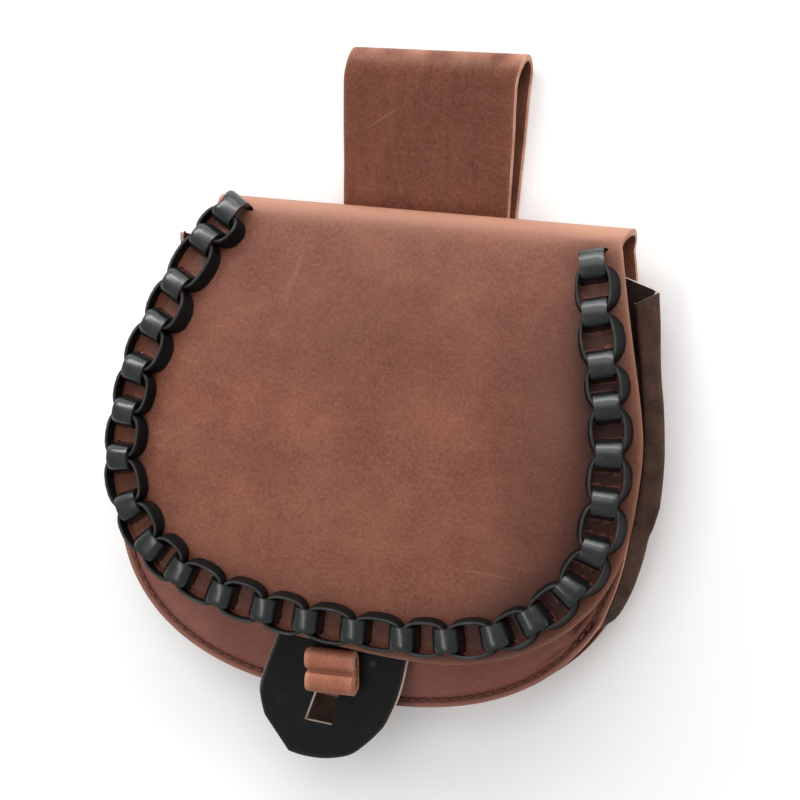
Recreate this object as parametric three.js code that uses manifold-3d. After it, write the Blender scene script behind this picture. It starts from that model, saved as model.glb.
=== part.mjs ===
import * as THREE from "three";
import { mergeVertices } from "three/addons/utils/BufferGeometryUtils.js";
import Module from "manifold-3d";

// A leather belt pouch that lies on its back with the flap up.
// Millimetres: +X to the right of the flap, +Y towards the belt loop, +Z up out of the flap.

// Leather
const panelThick = 2.2; // back, flap and front
const gussetThick = 1.5;
const loopThick = 2.2;
const tabThick = 2.4;
const laceThick = 1.6;
const gap = 0.35; // clear space kept between pieces that touch

// An outline is a pair of sides over a round bottom. halfWidth holds at cornerY, where the bottom begins;
// the sides close in by taper above bendY, and a higher roundness makes a squarer bottom. The bottom is cut
// a little askew: it is higher by lean on the right and lower on the left.
const bodyOutline = {
  halfWidth: 91.7,
  cornerY: -13.6,
  bottomY: -87,
  roundness: 2.5,
  taper: 0.32,
  bendY: 12,
  bendSoft: 14,
  lean: 3.9,
};
const flapOutline = {
  halfWidth: 94.7,
  cornerY: -4.9,
  bottomY: -67.8,
  roundness: 2.55,
  taper: 0.337,
  bendY: 13.7,
  bendSoft: 11.3,
  lean: 1.7,
};
const trimOutline = {
  halfWidth: 85.6,
  cornerY: -1.6,
  bottomY: -57.4,
  roundness: 2.6,
  taper: 0.359,
  bendY: 19.1,
  bendSoft: 11.3,
  lean: 0.8,
};
const tabOutline = {
  halfWidth: 24.6,
  cornerY: -84,
  bottomY: -108.3,
  roundness: 2.1,
  taper: 0.06,
  bendY: -70,
  bendSoft: 4,
  lean: 0,
};

// Fold at the top and form of the flap
const foldRadius = 7.5; // outside of the fold
const foldCentreY = 75;
const foldLeave = THREE.MathUtils.degToRad(21); // slope of the flap where it leaves the fold
const foldSlant = 0.093; // rise of the fold line for each millimetre to the right
const slantFromY = 10; // the slant fades out from the fold down to here
const crestY = -35; // highest line of the flap
const flankStart = 55; // the flap bends down outside this half width
const flankDrop = 7;

// Front panel
const mouthY = 60; // top edge of the front, on the middle line
const lipZ = 17.4; // height of the sewn edge above the back
const lipFall = 0.00107; // the edge comes down towards the mouth
const lipFallFromY = -20;
const lipWidth = 4; // flat sewn margin
const domeReach = 34; // from the margin to the full height of the dome
const frontClear = 7.6; // from the top of the flap to the top of the front

// Gusset: how far its crease stands out from the body outline, by height on the pouch
const creaseRows = [
  { y: 70, out: 13 },
  { y: 48, out: 10.8 },
  { y: 22, out: 8.9 },
  { y: -5, out: 7.2 },
  { y: -26, out: 4.6 },
  { y: -41, out: 1.7 },
  { y: -50, out: -0.6 },
  { y: -87, out: -1.8 },
];
const creaseLeft = 0.5; // the left side is pressed in to this share
const flangeWidth = 6; // lap under the front and over the back
const creaseTopY = 61.5;
const gussetBackTopY = 66.5;

// Ring and lace trim
const ringCount = 25;
const trimLeftTopY = 72.1; // where the trim ends
const trimRightTopY = 76.2;
// Rings that are longer or shorter than the others
const ringRows = [
  { ring: 1, longer: -2.9 },
  { ring: 2, longer: 1.9 },
  { ring: 3, longer: -1.3 },
  { ring: 8, longer: 1.1 },
  { ring: 9, longer: -2 },
  { ring: 12, longer: 1.7 },
  { ring: 14, longer: 3.4 },
  { ring: 20, longer: -1.5 },
  { ring: 23, longer: -1.7 },
  { ring: 24, longer: 1.4 },
];
const ringGap = 0.3;
const ringWall = 1.6;
const ringTop = 4.3;
// One side of a ring from end to end: share of its half length, half width, and spread of its foot there
const ringSideRows = [
  { share: -1, across: 5.1, flare: 0.2 },
  { share: -0.72, across: 6.5, flare: 0.6 },
  { share: -0.3, across: 7.2, flare: 0.9 },
  { share: 0.3, across: 7.2, flare: 0.9 },
  { share: 0.72, across: 6.5, flare: 0.6 },
  { share: 1, across: 5.1, flare: 0.2 },
];
const laceHalfWidth = 3.7;
const laceTail = 9; // tucked end past the last slit
// Half of one bridge: distance along the trim from its middle, and height of the lace's middle above the flap
const bridgeRows = [
  { along: 1.1, height: 5.9 },
  { along: 2.6, height: 5.15 },
  { along: 3.45, height: 3.2 },
  { along: 3.7, height: -1.9 },
  { along: 4.6, height: -3.55 },
];
const slitAlong = 3.78; // middle of a slit from the middle of its bridge
// Half of one slit: distance across the trim, and half of its width there
const slitRows = [
  { across: 4.2, half: 1.45 },
  { across: 5.4, half: 0 },
];
const slitAbove = 0.6;
const slitBelow = 2.9;

// Closure tab and toggle
const tabTopY = -42; // hidden end under the flap
const tabUnderFlap = 4.75; // top of the flap to top of the tab
const tabDroopFromY = -66;
const tabDroop = 0.002;
const tabTurn = THREE.MathUtils.degToRad(-6.5);
const tabTurnY = -62;
const slotX = -0.3;
const slotHalfWidth = 5.1;
const slotTopY = -70;
const slotBottomY = -94.3;
const toggleX = 2.2;
const toggleY = -75.7;
const toggleTurn = THREE.MathUtils.degToRad(4);
const toggleWidth = 20.5;
const toggleThick = 2;
const rollRadius = 2.35; // middle of the leather in each roll
const rollSpacing = 6.8; // between the two rolls
const stemX = -2.6; // the stem is left of the toggle's middle
const stemWidth = 6;
const stemThick = 4;

// Belt loop, in its own plane on the surface that the pouch lies on
const loopWidth = 62; // at the top
const loopTaper = 0.021; // each side closes in by this for each millimetre down
const loopTurn = THREE.MathUtils.degToRad(5.2);
const loopPivot = { x: 0, y: 83 };
const loopTopY = 137.4;
const loopTopThick = 14;
const loopRearEndY = -5;
// Front layer from the top fold down to its sewn end: height of the middle of the leather
const loopFrontRows = [
  { y: 110, z: 9.7 },
  { y: 88, z: 6.3 },
  { y: 75, z: 4.6 },
  { y: 62, z: 3.65 },
  { y: 42, z: 3.65 },
];

// How the pouch lies: its lower edge on the surface and its top on the belt loop
const restTilt = THREE.MathUtils.degToRad(2.4);
const restLift = 3.7;

const panelColumns = 14; // faces across the flap, the back and the front

const wasm = await Module();
wasm.setup();

const { lerp, smoothstep } = THREE.MathUtils;

// Value of a column at a place on another, straight between the rows of a table in falling order.
function tableValue(rows, key, column, at) {
  const next = rows.findIndex((row) => row[key] <= at);
  if (next === 0) return rows[0][column];
  if (next < 0) return rows[rows.length - 1][column];
  const above = rows[next - 1];
  const below = rows[next];
  return lerp(below[column], above[column], (at - below[key]) / (above[key] - below[key]));
}

// A ramp that starts softly around zero and then climbs one for one.
function softRise(distance, soft) {
  return (distance + Math.hypot(distance, soft)) / 2;
}

function halfWidthAt(outline, y) {
  const { halfWidth, cornerY, taper, bendY, bendSoft } = outline;
  const level = Math.max(y, cornerY);
  const closing = softRise(level - bendY, bendSoft) - softRise(cornerY - bendY, bendSoft);
  return halfWidth - taper * closing;
}

function bottomAt(outline, share) {
  const { cornerY, bottomY, roundness, lean } = outline;
  const depth = Math.max(0, 1 - Math.abs(share) ** roundness) ** (1 / roundness);
  return lerp(cornerY, bottomY, depth) + lean * share;
}

// Shares from -1 to 1 across a panel, closer together towards its sides.
function sharesAcross(columns) {
  return Array.from({ length: columns + 1 }, (_, j) => Math.sin((j / columns - 0.5) * Math.PI));
}

// Plan place on a panel: share runs across it, and down runs from its top line (0) to its edge (1).
function panelPlan(outline, topLevel, slant, share, down) {
  const top = topLevel + slant * share * halfWidthAt(outline, topLevel);
  const sideY = lerp(top, outline.cornerY, down);
  const y = lerp(top, bottomAt(outline, share), down);
  return { x: share * halfWidthAt(outline, sideY), y };
}

// The edge of an outline as a curve from its left top, round the bottom, to its right top.
function edgeCurve(outline, leftTopY, rightTopY) {
  const sideSteps = 8;
  const bottomSteps = 28;
  const points = [];
  for (let i = 0; i < sideSteps; i++) {
    const y = lerp(leftTopY, bottomAt(outline, -1), i / sideSteps);
    points.push(new THREE.Vector2(-halfWidthAt(outline, y), y));
  }
  for (const share of sharesAcross(bottomSteps)) {
    points.push(new THREE.Vector2(share * outline.halfWidth, bottomAt(outline, share)));
  }
  for (let i = 1; i <= sideSteps; i++) {
    const y = lerp(bottomAt(outline, 1), rightTopY, i / sideSteps);
    points.push(new THREE.Vector2(halfWidthAt(outline, y), y));
  }
  return new THREE.SplineCurve(points);
}

// Place on a curve, moved to its right-hand side, which is outwards on an edge curve.
function besideCurve(curve, share, outwards) {
  const at = curve.getPointAt(share);
  const along = curve.getTangentAt(share);
  return new THREE.Vector2(at.x + along.y * outwards, at.y - along.x * outwards);
}

// Closed leather between an outer and an inner skin, each a grid of rows of points. Wrapped rows form a ring.
function leatherShell(outer, inner, wrapped = false) {
  const rowCount = outer.length;
  const columnCount = outer[0].length;
  const points = [...outer.flat(), ...inner.flat()];
  const faces = [];
  const outerAt = (i, j) => (i % rowCount) * columnCount + j;
  const innerAt = (i, j) => rowCount * columnCount + outerAt(i, j);
  const addQuad = (a, b, c, d) => faces.push(a, b, c, a, c, d);
  const lastRow = wrapped ? rowCount : rowCount - 1;
  const lastColumn = columnCount - 1;
  for (let i = 0; i < lastRow; i++) {
    for (let j = 0; j < lastColumn; j++) {
      addQuad(outerAt(i, j), outerAt(i, j + 1), outerAt(i + 1, j + 1), outerAt(i + 1, j));
      addQuad(innerAt(i, j), innerAt(i + 1, j), innerAt(i + 1, j + 1), innerAt(i, j + 1));
    }
    const last = lastColumn;
    addQuad(outerAt(i, 0), outerAt(i + 1, 0), innerAt(i + 1, 0), innerAt(i, 0));
    addQuad(outerAt(i + 1, last), outerAt(i, last), innerAt(i, last), innerAt(i + 1, last));
  }
  if (!wrapped) {
    for (let j = 0; j < lastColumn; j++) {
      addQuad(outerAt(0, j + 1), outerAt(0, j), innerAt(0, j), innerAt(0, j + 1));
      addQuad(outerAt(lastRow, j), outerAt(lastRow, j + 1), innerAt(lastRow, j + 1), innerAt(lastRow, j));
    }
  }
  return outwardGeometry(points, faces);
}

// Geometry of a closed surface, with every face turned outwards.
function outwardGeometry(points, faces) {
  let volume = 0;
  for (let f = 0; f < faces.length; f += 3) {
    const [a, b, c] = [points[faces[f]], points[faces[f + 1]], points[faces[f + 2]]];
    volume += a.dot(b.clone().cross(c));
  }
  const index = volume < 0 ? [...faces].reverse() : faces;
  const geometry = new THREE.BufferGeometry().setFromPoints(points);
  geometry.setIndex(index);
  return geometry;
}

function toSolid(geometry) {
  const bare = geometry.clone();
  bare.deleteAttribute("normal");
  bare.deleteAttribute("uv");
  const merged = mergeVertices(bare);
  const faces = [];
  for (let f = 0; f < merged.index.count; f += 3) {
    const corners = [merged.index.getX(f), merged.index.getX(f + 1), merged.index.getX(f + 2)];
    if (new Set(corners).size === 3) faces.push(...corners); // a face that closes to a line is left out
  }
  const mesh = new wasm.Mesh({
    numProp: 3,
    vertProperties: new Float32Array(merged.attributes.position.array),
    triVerts: new Uint32Array(faces),
  });
  return new wasm.Manifold(mesh);
}

function toGeometry(solid) {
  const { vertProperties, triVerts } = solid.getMesh();
  const geometry = new THREE.BufferGeometry();
  geometry.setAttribute("position", new THREE.BufferAttribute(vertProperties, 3));
  geometry.setIndex(new THREE.BufferAttribute(triVerts, 1));
  return geometry;
}

// A path in a plane moved to its left by a distance, with square corners kept at full thickness.
function besidePath(path, distance) {
  return path.map((point, i) => {
    const before = path[Math.max(0, i - 1)];
    const after = path[Math.min(path.length - 1, i + 1)];
    const into = new THREE.Vector2().subVectors(point, before);
    const out = new THREE.Vector2().subVectors(after, point);
    if (into.length() === 0) into.copy(out);
    if (out.length() === 0) out.copy(into);
    const along = into.normalize().add(out.normalize()).normalize();
    const reach = distance / along.dot(out);
    return new THREE.Vector2(point.x - along.y * reach, point.y + along.x * reach);
  });
}

// Form of the flap: a curved sheet that leaves the fold, crests low down and bends down at the flanks.
const foldEnd = foldCentreY + foldRadius * Math.sin(foldLeave);
const foldEndZ = foldRadius * (1 + Math.cos(foldLeave));
const crestFall = Math.tan(foldLeave) / (2 * (foldEnd - crestY));
const crestZ = foldEndZ + crestFall * (foldEnd - crestY) ** 2;
const foldTurn = Math.PI - foldLeave;

// Distance up the pouch, square to the slanted fold line near the top.
function levelOf(x, y) {
  return y - x * foldSlant * smoothstep(y, slantFromY, foldCentreY);
}

function crownZ(level) {
  return crestZ - crestFall * (level - crestY) ** 2;
}

// Point at a height above the flap. Past the fold's start, y goes on along the leather round the fold.
function flapPoint(x, y, height) {
  const level = levelOf(x, y);
  const flank = Math.max(0, Math.abs(x) - flankStart) / (flapOutline.halfWidth - flankStart);
  const drop = flankDrop * flank ** 2;
  const past = level - foldEnd;
  if (past > 0) {
    const turn = foldLeave + past / foldRadius;
    const reach = foldRadius + height;
    const kept = (1 + Math.cos((Math.PI * (turn - foldLeave)) / foldTurn)) / 2;
    const foldY = foldCentreY + foldSlant * x + reach * Math.sin(turn);
    return new THREE.Vector3(x, foldY, foldRadius + reach * Math.cos(turn) - drop * kept);
  }
  const slopeY = -2 * crestFall * (level - crestY);
  const flankSlope = (2 * flankDrop * flank * Math.sign(x)) / (flapOutline.halfWidth - flankStart);
  const slopeX = -slopeY * foldSlant * smoothstep(y, slantFromY, foldCentreY) - flankSlope;
  const up = new THREE.Vector3(-slopeX, -slopeY, 1).normalize();
  return new THREE.Vector3(x, y, crownZ(level) - drop).addScaledVector(up, height);
}

// The trim's middle line on the flap, and points placed along it, across it and above the flap.
const trimLine = edgeCurve(trimOutline, trimLeftTopY, trimRightTopY);
const trimLength = trimLine.getLength();

// Places of the bridges along the trim: one at each end, and one between every two rings.
const longerSum = ringRows.reduce((sum, { longer }) => sum + longer, 0);
const commonLength = (trimLength - longerSum) / ringCount;
const bridgePlaces = [0];
for (let k = 1; k <= ringCount; k++) {
  const own = ringRows.find(({ ring }) => ring === k);
  bridgePlaces.push(bridgePlaces[k - 1] + commonLength + (own ? own.longer : 0));
}

function trimPoint(along, across, height) {
  const inside = THREE.MathUtils.clamp(along, 0, trimLength);
  const onLine = besideCurve(trimLine, inside / trimLength, across);
  const past = trimLine.getTangentAt(inside / trimLength).multiplyScalar(along - inside);
  return flapPoint(onLine.x + past.x, onLine.y + past.y, height);
}

function makeSlit(along) {
  const rows = [...slitRows].reverse().map(({ across, half }) => ({ across: -across, half }));
  const outline = [...rows, ...slitRows];
  const skin = (height) =>
    outline.map(({ across, half }) => [
      trimPoint(along - half, across, height),
      trimPoint(along + half, across, height),
    ]);
  return leatherShell(skin(slitAbove), skin(-slitBelow));
}

function makeBackAndFlap() {
  const backRows = 5;
  const foldRows = 6;
  const flapRows = 10;
  const shares = sharesAcross(panelColumns);
  const outer = [];
  const inner = [];
  for (let i = 0; i < backRows; i++) {
    const down = 1 - i / backRows;
    const plan = shares.map((share) => panelPlan(bodyOutline, foldCentreY, foldSlant, share, down));
    outer.push(plan.map(({ x, y }) => new THREE.Vector3(x, y, 0)));
    inner.push(plan.map(({ x, y }) => new THREE.Vector3(x, y, panelThick)));
  }
  const backTop = halfWidthAt(bodyOutline, foldCentreY);
  for (let i = 0; i < foldRows; i++) {
    const share = i / foldRows;
    const past = foldRadius * foldTurn * (1 - share);
    const halfWidth = lerp(backTop, halfWidthAt(flapOutline, foldEnd), share);
    const plan = shares.map((across) => across * halfWidth);
    outer.push(plan.map((x) => flapPoint(x, foldEnd + past + foldSlant * x, 0)));
    inner.push(plan.map((x) => flapPoint(x, foldEnd + past + foldSlant * x, -panelThick)));
  }
  for (let i = 0; i <= flapRows; i++) {
    const plan = shares.map((share) => panelPlan(flapOutline, foldEnd, foldSlant, share, i / flapRows));
    outer.push(plan.map(({ x, y }) => flapPoint(x, y, 0)));
    inner.push(plan.map(({ x, y }) => flapPoint(x, y, -panelThick)));
  }
  let solid = toSolid(leatherShell(outer, inner));
  for (const place of bridgePlaces) {
    for (const side of [-slitAlong, slitAlong]) {
      solid = solid.subtract(toSolid(makeSlit(place + side)));
    }
  }
  return toGeometry(solid);
}

// Rough distance inwards from the edge of the body outline.
function insideBody(x, y) {
  const { halfWidth, cornerY, bottomY, roundness, lean } = bodyOutline;
  const level = y - (lean * x) / halfWidth;
  if (level >= cornerY) return halfWidthAt(bodyOutline, level) - Math.abs(x);
  const across = (Math.abs(x) / halfWidth) ** roundness;
  const down = ((cornerY - level) / (cornerY - bottomY)) ** roundness;
  return halfWidth * (1 - (across + down) ** (1 / roundness));
}

function lipHeight(x, y) {
  return lipZ - lipFall * Math.max(0, levelOf(x, y) - lipFallFromY) ** 2;
}

function frontHeight(x, y) {
  const rise = THREE.MathUtils.clamp((insideBody(x, y) - lipWidth) / domeReach, 0, 1);
  const lip = lipHeight(x, y);
  return lerp(lip, crownZ(levelOf(x, y)) - frontClear, 1 - (1 - rise) ** 2);
}

// A sheet that lies as a height over a plan, with its thickness under it.
function sheetOver(plan, heightAt, thick) {
  const step = 0.5;
  const outer = plan.map((row) => row.map(({ x, y }) => new THREE.Vector3(x, y, heightAt(x, y))));
  const inner = outer.map((row) =>
    row.map((top) => {
      const slopeX = (heightAt(top.x + step, top.y) - heightAt(top.x - step, top.y)) / (2 * step);
      const slopeY = (heightAt(top.x, top.y + step) - heightAt(top.x, top.y - step)) / (2 * step);
      const up = new THREE.Vector3(-slopeX, -slopeY, 1).normalize();
      return top.clone().addScaledVector(up, -thick);
    }),
  );
  return leatherShell(outer, inner);
}

function planRows(outline, topLevel, slant, rows, columns) {
  const shares = sharesAcross(columns);
  return Array.from({ length: rows + 1 }, (_, i) =>
    shares.map((share) => panelPlan(outline, topLevel, slant, share, i / rows)),
  );
}

function makeFrontPanel() {
  const frontRows = 9;
  const plan = planRows(bodyOutline, mouthY, foldSlant, frontRows, panelColumns);
  return sheetOver(plan, frontHeight, panelThick);
}

function makeGusset() {
  const stations = 34;
  const half = gussetThick / 2;
  const backZ = panelThick + gap + half;
  const slantedEdge = (topLevel) => {
    const climb = foldSlant * halfWidthAt(bodyOutline, topLevel);
    return edgeCurve(bodyOutline, topLevel - climb, topLevel + climb);
  };
  const frontEdge = slantedEdge(mouthY);
  const creaseEdge = slantedEdge(creaseTopY);
  const backEdge = slantedEdge(gussetBackTopY);
  const outer = [];
  const inner = [];
  for (let i = 0; i <= stations; i++) {
    const share = i / stations;
    const place = (edge, outwards, z) => {
      const { x, y } = besideCurve(edge, share, outwards);
      return new THREE.Vector3(x, y, z);
    };
    const lip = frontEdge.getPointAt(share);
    const frontZ = lipHeight(lip.x, lip.y) - panelThick - gap - half;
    const creaseZ = (frontZ + backZ) / 2;
    const fullOut = tableValue(creaseRows, "y", "out", levelOf(lip.x, creaseEdge.getPointAt(share).y));
    const creaseOut = lip.x < 0 && fullOut > 0 ? creaseLeft * fullOut : fullOut;
    const bend = 1;
    const foldAngle = Math.atan2((frontZ - backZ) / 2, Math.max(creaseOut + bend, half));
    const creaseIn = Math.max(creaseOut - half / Math.sin(foldAngle), -flangeWidth + half);
    outer.push([
      place(frontEdge, -flangeWidth, frontZ + half),
      place(frontEdge, -bend, frontZ + half),
      place(creaseEdge, creaseOut + half, creaseZ),
      place(backEdge, -bend, backZ - half),
      place(backEdge, -flangeWidth, backZ - half),
    ]);
    inner.push([
      place(frontEdge, -flangeWidth, frontZ - half),
      place(frontEdge, Math.min(-bend - half, creaseIn - half / 2), frontZ - half),
      place(creaseEdge, creaseIn, creaseZ),
      place(backEdge, Math.min(-bend - half, creaseIn - half / 2), backZ + half),
      place(backEdge, -flangeWidth, backZ + half),
    ]);
  }
  return leatherShell(outer, inner);
}

// One barrel-sided ring of leather on its edge, bent to follow the trim.
function makeRing(number) {
  const middle = (bridgePlaces[number] + bridgePlaces[number + 1]) / 2;
  const halfAlong = (bridgePlaces[number + 1] - bridgePlaces[number] - ringGap) / 2;
  const outer = [];
  const inner = [];
  for (const side of [-1, 1]) {
    for (const { share, across, flare } of ringSideRows) {
      const corner = (along, acrossHere, height) =>
        trimPoint(middle - side * share * along, side * acrossHere, height);
      const insideAlong = halfAlong - ringWall;
      const insideAcross = across - ringWall;
      outer.push([corner(halfAlong, across + flare, gap), corner(halfAlong, across, ringTop)]);
      inner.push([
        corner(insideAlong, insideAcross + flare, gap),
        corner(insideAlong, insideAcross, ringTop),
      ]);
    }
  }
  return leatherShell(outer, inner, true);
}

function makeLace() {
  const rising = [...bridgeRows].reverse().map(({ along, height }) => ({ along: -along, height }));
  const bridge = [...rising, ...bridgeRows];
  const underZ = bridgeRows[bridgeRows.length - 1].height;
  const path = [new THREE.Vector2(-laceTail, underZ)];
  for (const place of bridgePlaces) {
    for (const { along, height } of bridge) path.push(new THREE.Vector2(place + along, height));
  }
  path.push(new THREE.Vector2(trimLength + laceTail, underZ));
  const skin = (distance) =>
    besidePath(path, distance).map(({ x, y }) => [
      trimPoint(x, -laceHalfWidth, y),
      trimPoint(x, laceHalfWidth, y),
    ]);
  return leatherShell(skin(laceThick / 2), skin(-laceThick / 2));
}

function tabHeight(x, y) {
  return crownZ(y) - tabUnderFlap - tabDroop * Math.max(0, tabDroopFromY - y) ** 2;
}

function makeClosureTab() {
  const tabRows = 8;
  const tabColumns = 8;
  const plan = planRows(tabOutline, tabTopY, 0, tabRows, tabColumns);
  const turned = (x, y) => {
    const dy = y - tabTurnY;
    return {
      x: x * Math.cos(tabTurn) - dy * Math.sin(tabTurn),
      y: tabTurnY + x * Math.sin(tabTurn) + dy * Math.cos(tabTurn),
    };
  };
  const sheet = sheetOver(plan.map((row) => row.map(({ x, y }) => turned(x, y))), tabHeight, tabThick);
  const slotLength = slotTopY - slotBottomY;
  const slot = new THREE.BoxGeometry(2 * slotHalfWidth, slotLength, 4 * tabThick);
  const middle = turned(slotX, (slotTopY + slotBottomY) / 2);
  slot.rotateZ(tabTurn);
  slot.translate(middle.x, middle.y, tabHeight(middle.x, middle.y) - tabThick / 2);
  return toGeometry(toSolid(sheet).subtract(toSolid(slot)));
}

// Two rolls side by side, curled up from one strip, on a stem that goes down through the slot.
function makeToggle(stemLength) {
  const curlSteps = 10;
  const curlTurn = THREE.MathUtils.degToRad(272);
  const path = [];
  for (const side of [-1, 1]) {
    for (let i = 0; i <= curlSteps; i++) {
      const turned = curlTurn * (side < 0 ? 1 - i / curlSteps : i / curlSteps);
      const y = side * (rollSpacing / 2 + rollRadius * Math.sin(turned));
      path.push(new THREE.Vector2(y, toggleThick / 2 + rollRadius * (1 - Math.cos(turned))));
    }
  }
  const skin = (distance) =>
    besidePath(path, distance).map(({ x, y }) => [
      new THREE.Vector3(-toggleWidth / 2, x, y),
      new THREE.Vector3(toggleWidth / 2, x, y),
    ]);
  const rolls = leatherShell(skin(toggleThick / 2), skin(-toggleThick / 2));
  const sunk = toggleThick / 2;
  const stem = new THREE.BoxGeometry(stemWidth, stemThick, stemLength + sunk);
  stem.translate(stemX, 0, sunk - (stemLength + sunk) / 2);
  return toGeometry(toSolid(rolls).add(toSolid(stem)));
}

function makeBeltLoop() {
  const half = loopThick / 2;
  const bendRadius = (loopTopThick - loopThick) / 2;
  const bendY = loopTopY - loopTopThick / 2;
  const bendSteps = 10;
  const path = [new THREE.Vector2(loopRearEndY, half)];
  for (let i = 0; i <= bendSteps; i++) {
    const angle = (i / bendSteps - 0.5) * Math.PI;
    path.push(
      new THREE.Vector2(bendY + bendRadius * Math.cos(angle), half + bendRadius * (1 + Math.sin(angle))),
    );
  }
  for (const { y, z } of loopFrontRows) path.push(new THREE.Vector2(y, z));
  const skin = (distance) =>
    besidePath(path, distance).map(({ x, y }) => {
      const halfWidth = loopWidth / 2 - loopTaper * (loopTopY - x);
      return [-halfWidth, halfWidth].map((across) => new THREE.Vector3(across, x - loopPivot.y, y));
    });
  return leatherShell(skin(-half), skin(half));
}

const brownLeather = new THREE.MeshStandardMaterial({ color: 0x875546, roughness: 0.6, metalness: 0 });
const darkSuede = new THREE.MeshStandardMaterial({ color: 0x4f382e, roughness: 0.85, metalness: 0 });
const blackLeather = new THREE.MeshStandardMaterial({ color: 0x2b2e2e, roughness: 0.4, metalness: 0 });
const tabLeather = new THREE.MeshStandardMaterial({ color: 0x232426, roughness: 0.6, metalness: 0 });
const toggleLeather = new THREE.MeshStandardMaterial({ color: 0xb06a4c, roughness: 0.6, metalness: 0 });

function addMesh(group, name, geometry, material) {
  geometry.computeVertexNormals();
  const mesh = new THREE.Mesh(geometry, material);
  mesh.name = name;
  group.add(mesh);
  return mesh;
}

const pouch = new THREE.Group();
pouch.rotation.x = restTilt;
pouch.position.z = restLift;
addMesh(pouch, "back_and_flap", makeBackAndFlap(), brownLeather);
addMesh(pouch, "front_panel", makeFrontPanel(), brownLeather);
addMesh(pouch, "gusset", makeGusset(), darkSuede);
for (let k = 0; k < ringCount; k++) {
  addMesh(pouch, "ring_" + String(k + 1).padStart(2, "0"), makeRing(k), blackLeather);
}
addMesh(pouch, "lace", makeLace(), blackLeather);
addMesh(pouch, "closure_tab", makeClosureTab(), tabLeather);

const tabSlope = Math.atan(tabHeight(0, toggleY + 0.5) - tabHeight(0, toggleY - 0.5));
const toggleZ = tabHeight(toggleX, toggleY) + gap / Math.cos(tabSlope);
const stemLength = toggleZ - frontHeight(toggleX + stemX, toggleY + stemThick / 2) - 2 * gap;
const toggle = addMesh(pouch, "toggle", makeToggle(stemLength), toggleLeather);
toggle.position.set(toggleX, toggleY, toggleZ);
toggle.rotation.set(tabSlope, 0, toggleTurn);

const loop = new THREE.Group();
loop.position.set(loopPivot.x, loopPivot.y, 0);
loop.rotation.z = loopTurn;
addMesh(loop, "belt_loop", makeBeltLoop(), brownLeather);

// The origin is under the middle of the pouch, on the surface that it lies on.
const beltPouch = new THREE.Group();
beltPouch.add(pouch, loop);
beltPouch.updateMatrixWorld(true);
const extent = new THREE.Box3().setFromObject(beltPouch, true);
const middle = extent.getCenter(new THREE.Vector3());
for (const part of [pouch, loop]) {
  part.position.x -= middle.x;
  part.position.y -= middle.y;
  part.position.z -= extent.min.z;
}

export default beltPouch;
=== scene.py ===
import bisect
import math
import random

import bmesh
import bpy
from mathutils import Matrix, Vector, kdtree, noise


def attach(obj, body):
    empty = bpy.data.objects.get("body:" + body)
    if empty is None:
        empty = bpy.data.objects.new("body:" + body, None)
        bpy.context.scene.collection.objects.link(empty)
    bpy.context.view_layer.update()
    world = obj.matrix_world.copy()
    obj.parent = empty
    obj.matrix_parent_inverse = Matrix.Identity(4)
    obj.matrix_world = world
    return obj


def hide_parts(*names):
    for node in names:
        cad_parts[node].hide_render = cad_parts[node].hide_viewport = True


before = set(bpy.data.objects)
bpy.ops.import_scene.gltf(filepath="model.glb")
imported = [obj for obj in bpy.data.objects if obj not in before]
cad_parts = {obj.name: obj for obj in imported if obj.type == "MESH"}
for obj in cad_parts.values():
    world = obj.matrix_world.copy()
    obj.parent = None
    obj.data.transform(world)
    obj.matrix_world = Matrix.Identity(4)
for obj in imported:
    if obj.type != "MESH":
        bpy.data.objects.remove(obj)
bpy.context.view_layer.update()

print("frame loaded,", len(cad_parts), "solids")

mm = 0.001
chance = random.Random(7)
sheetSharp, bandSharp = 42, 60  # degrees past which an edge stays sharp

# How the pouch lies in the shared frame; shapes below are in millimetres in the pouch's own plane
lie = {"tilt": math.radians(2.4), "lift": 3.7, "middleX": 1.8712, "middleY": 15.6528}
lieTurn = Matrix.Rotation(lie["tilt"], 3, "X")


def toFrame(point):
    turned = lieTurn @ Vector(point)
    return Vector((turned.x - lie["middleX"], turned.y - lie["middleY"], turned.z + lie["lift"])) * mm


def lerp(a, b, share):
    return a + (b - a) * share


def clamp(value, low=0.0, high=1.0):
    return min(max(value, low), high)


def ease(value, low, high):
    t = clamp((value - low) / (high - low))
    return t * t * (3 - 2 * t)


def hill(distance, width):
    return math.exp(-((distance / width) ** 2))


# Relief, wear with painted light, and grime with painted shade come in three forms that start with their
# strength: a bell (strength, middle, width), a ramp (strength, from, to) and a wave (strength, size, seed)
def bell(form, at):
    strength, middle, width = form
    return strength * hill(at - middle, width)


def ramp(form, at):
    strength, low, high = form
    return strength * ease(at, low, high)


def wave(form, x, y, step=0):
    strength, size, seed = form
    return strength * noise.noise(Vector((x / size, y / size, seed + step)))


# Value read between rows of (place, value), placed in rising order
def readRows(rows, at):
    if at <= rows[0][0]:
        return rows[0][1]
    for (low, first), (high, second) in zip(rows, rows[1:]):
        if at <= high:
            return lerp(first, second, (at - low) / (high - low))
    return rows[-1][1]


# Cut outlines: straight-ish sides that close in by taper above bendY, over a round bottom cut a little askew

bodyCut = {"halfWidth": 91.7, "cornerY": -13.6, "bottomY": -87, "roundness": 2.5, "taper": 0.32, "bendY": 12,
           "soft": 14, "lean": 3.9}
trimCut = {"halfWidth": 85.6, "cornerY": -1.6, "bottomY": -57.4, "roundness": 2.6, "taper": 0.359,
           "bendY": 19.1, "soft": 11.3, "lean": 0.8}


def softRise(distance, soft):
    return (distance + math.hypot(distance, soft)) / 2


def halfWidthAt(cut, y):
    level = max(y, cut["cornerY"])
    closing = softRise(level - cut["bendY"], cut["soft"]) - softRise(cut["cornerY"] - cut["bendY"], cut["soft"])
    return cut["halfWidth"] - cut["taper"] * closing


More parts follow.
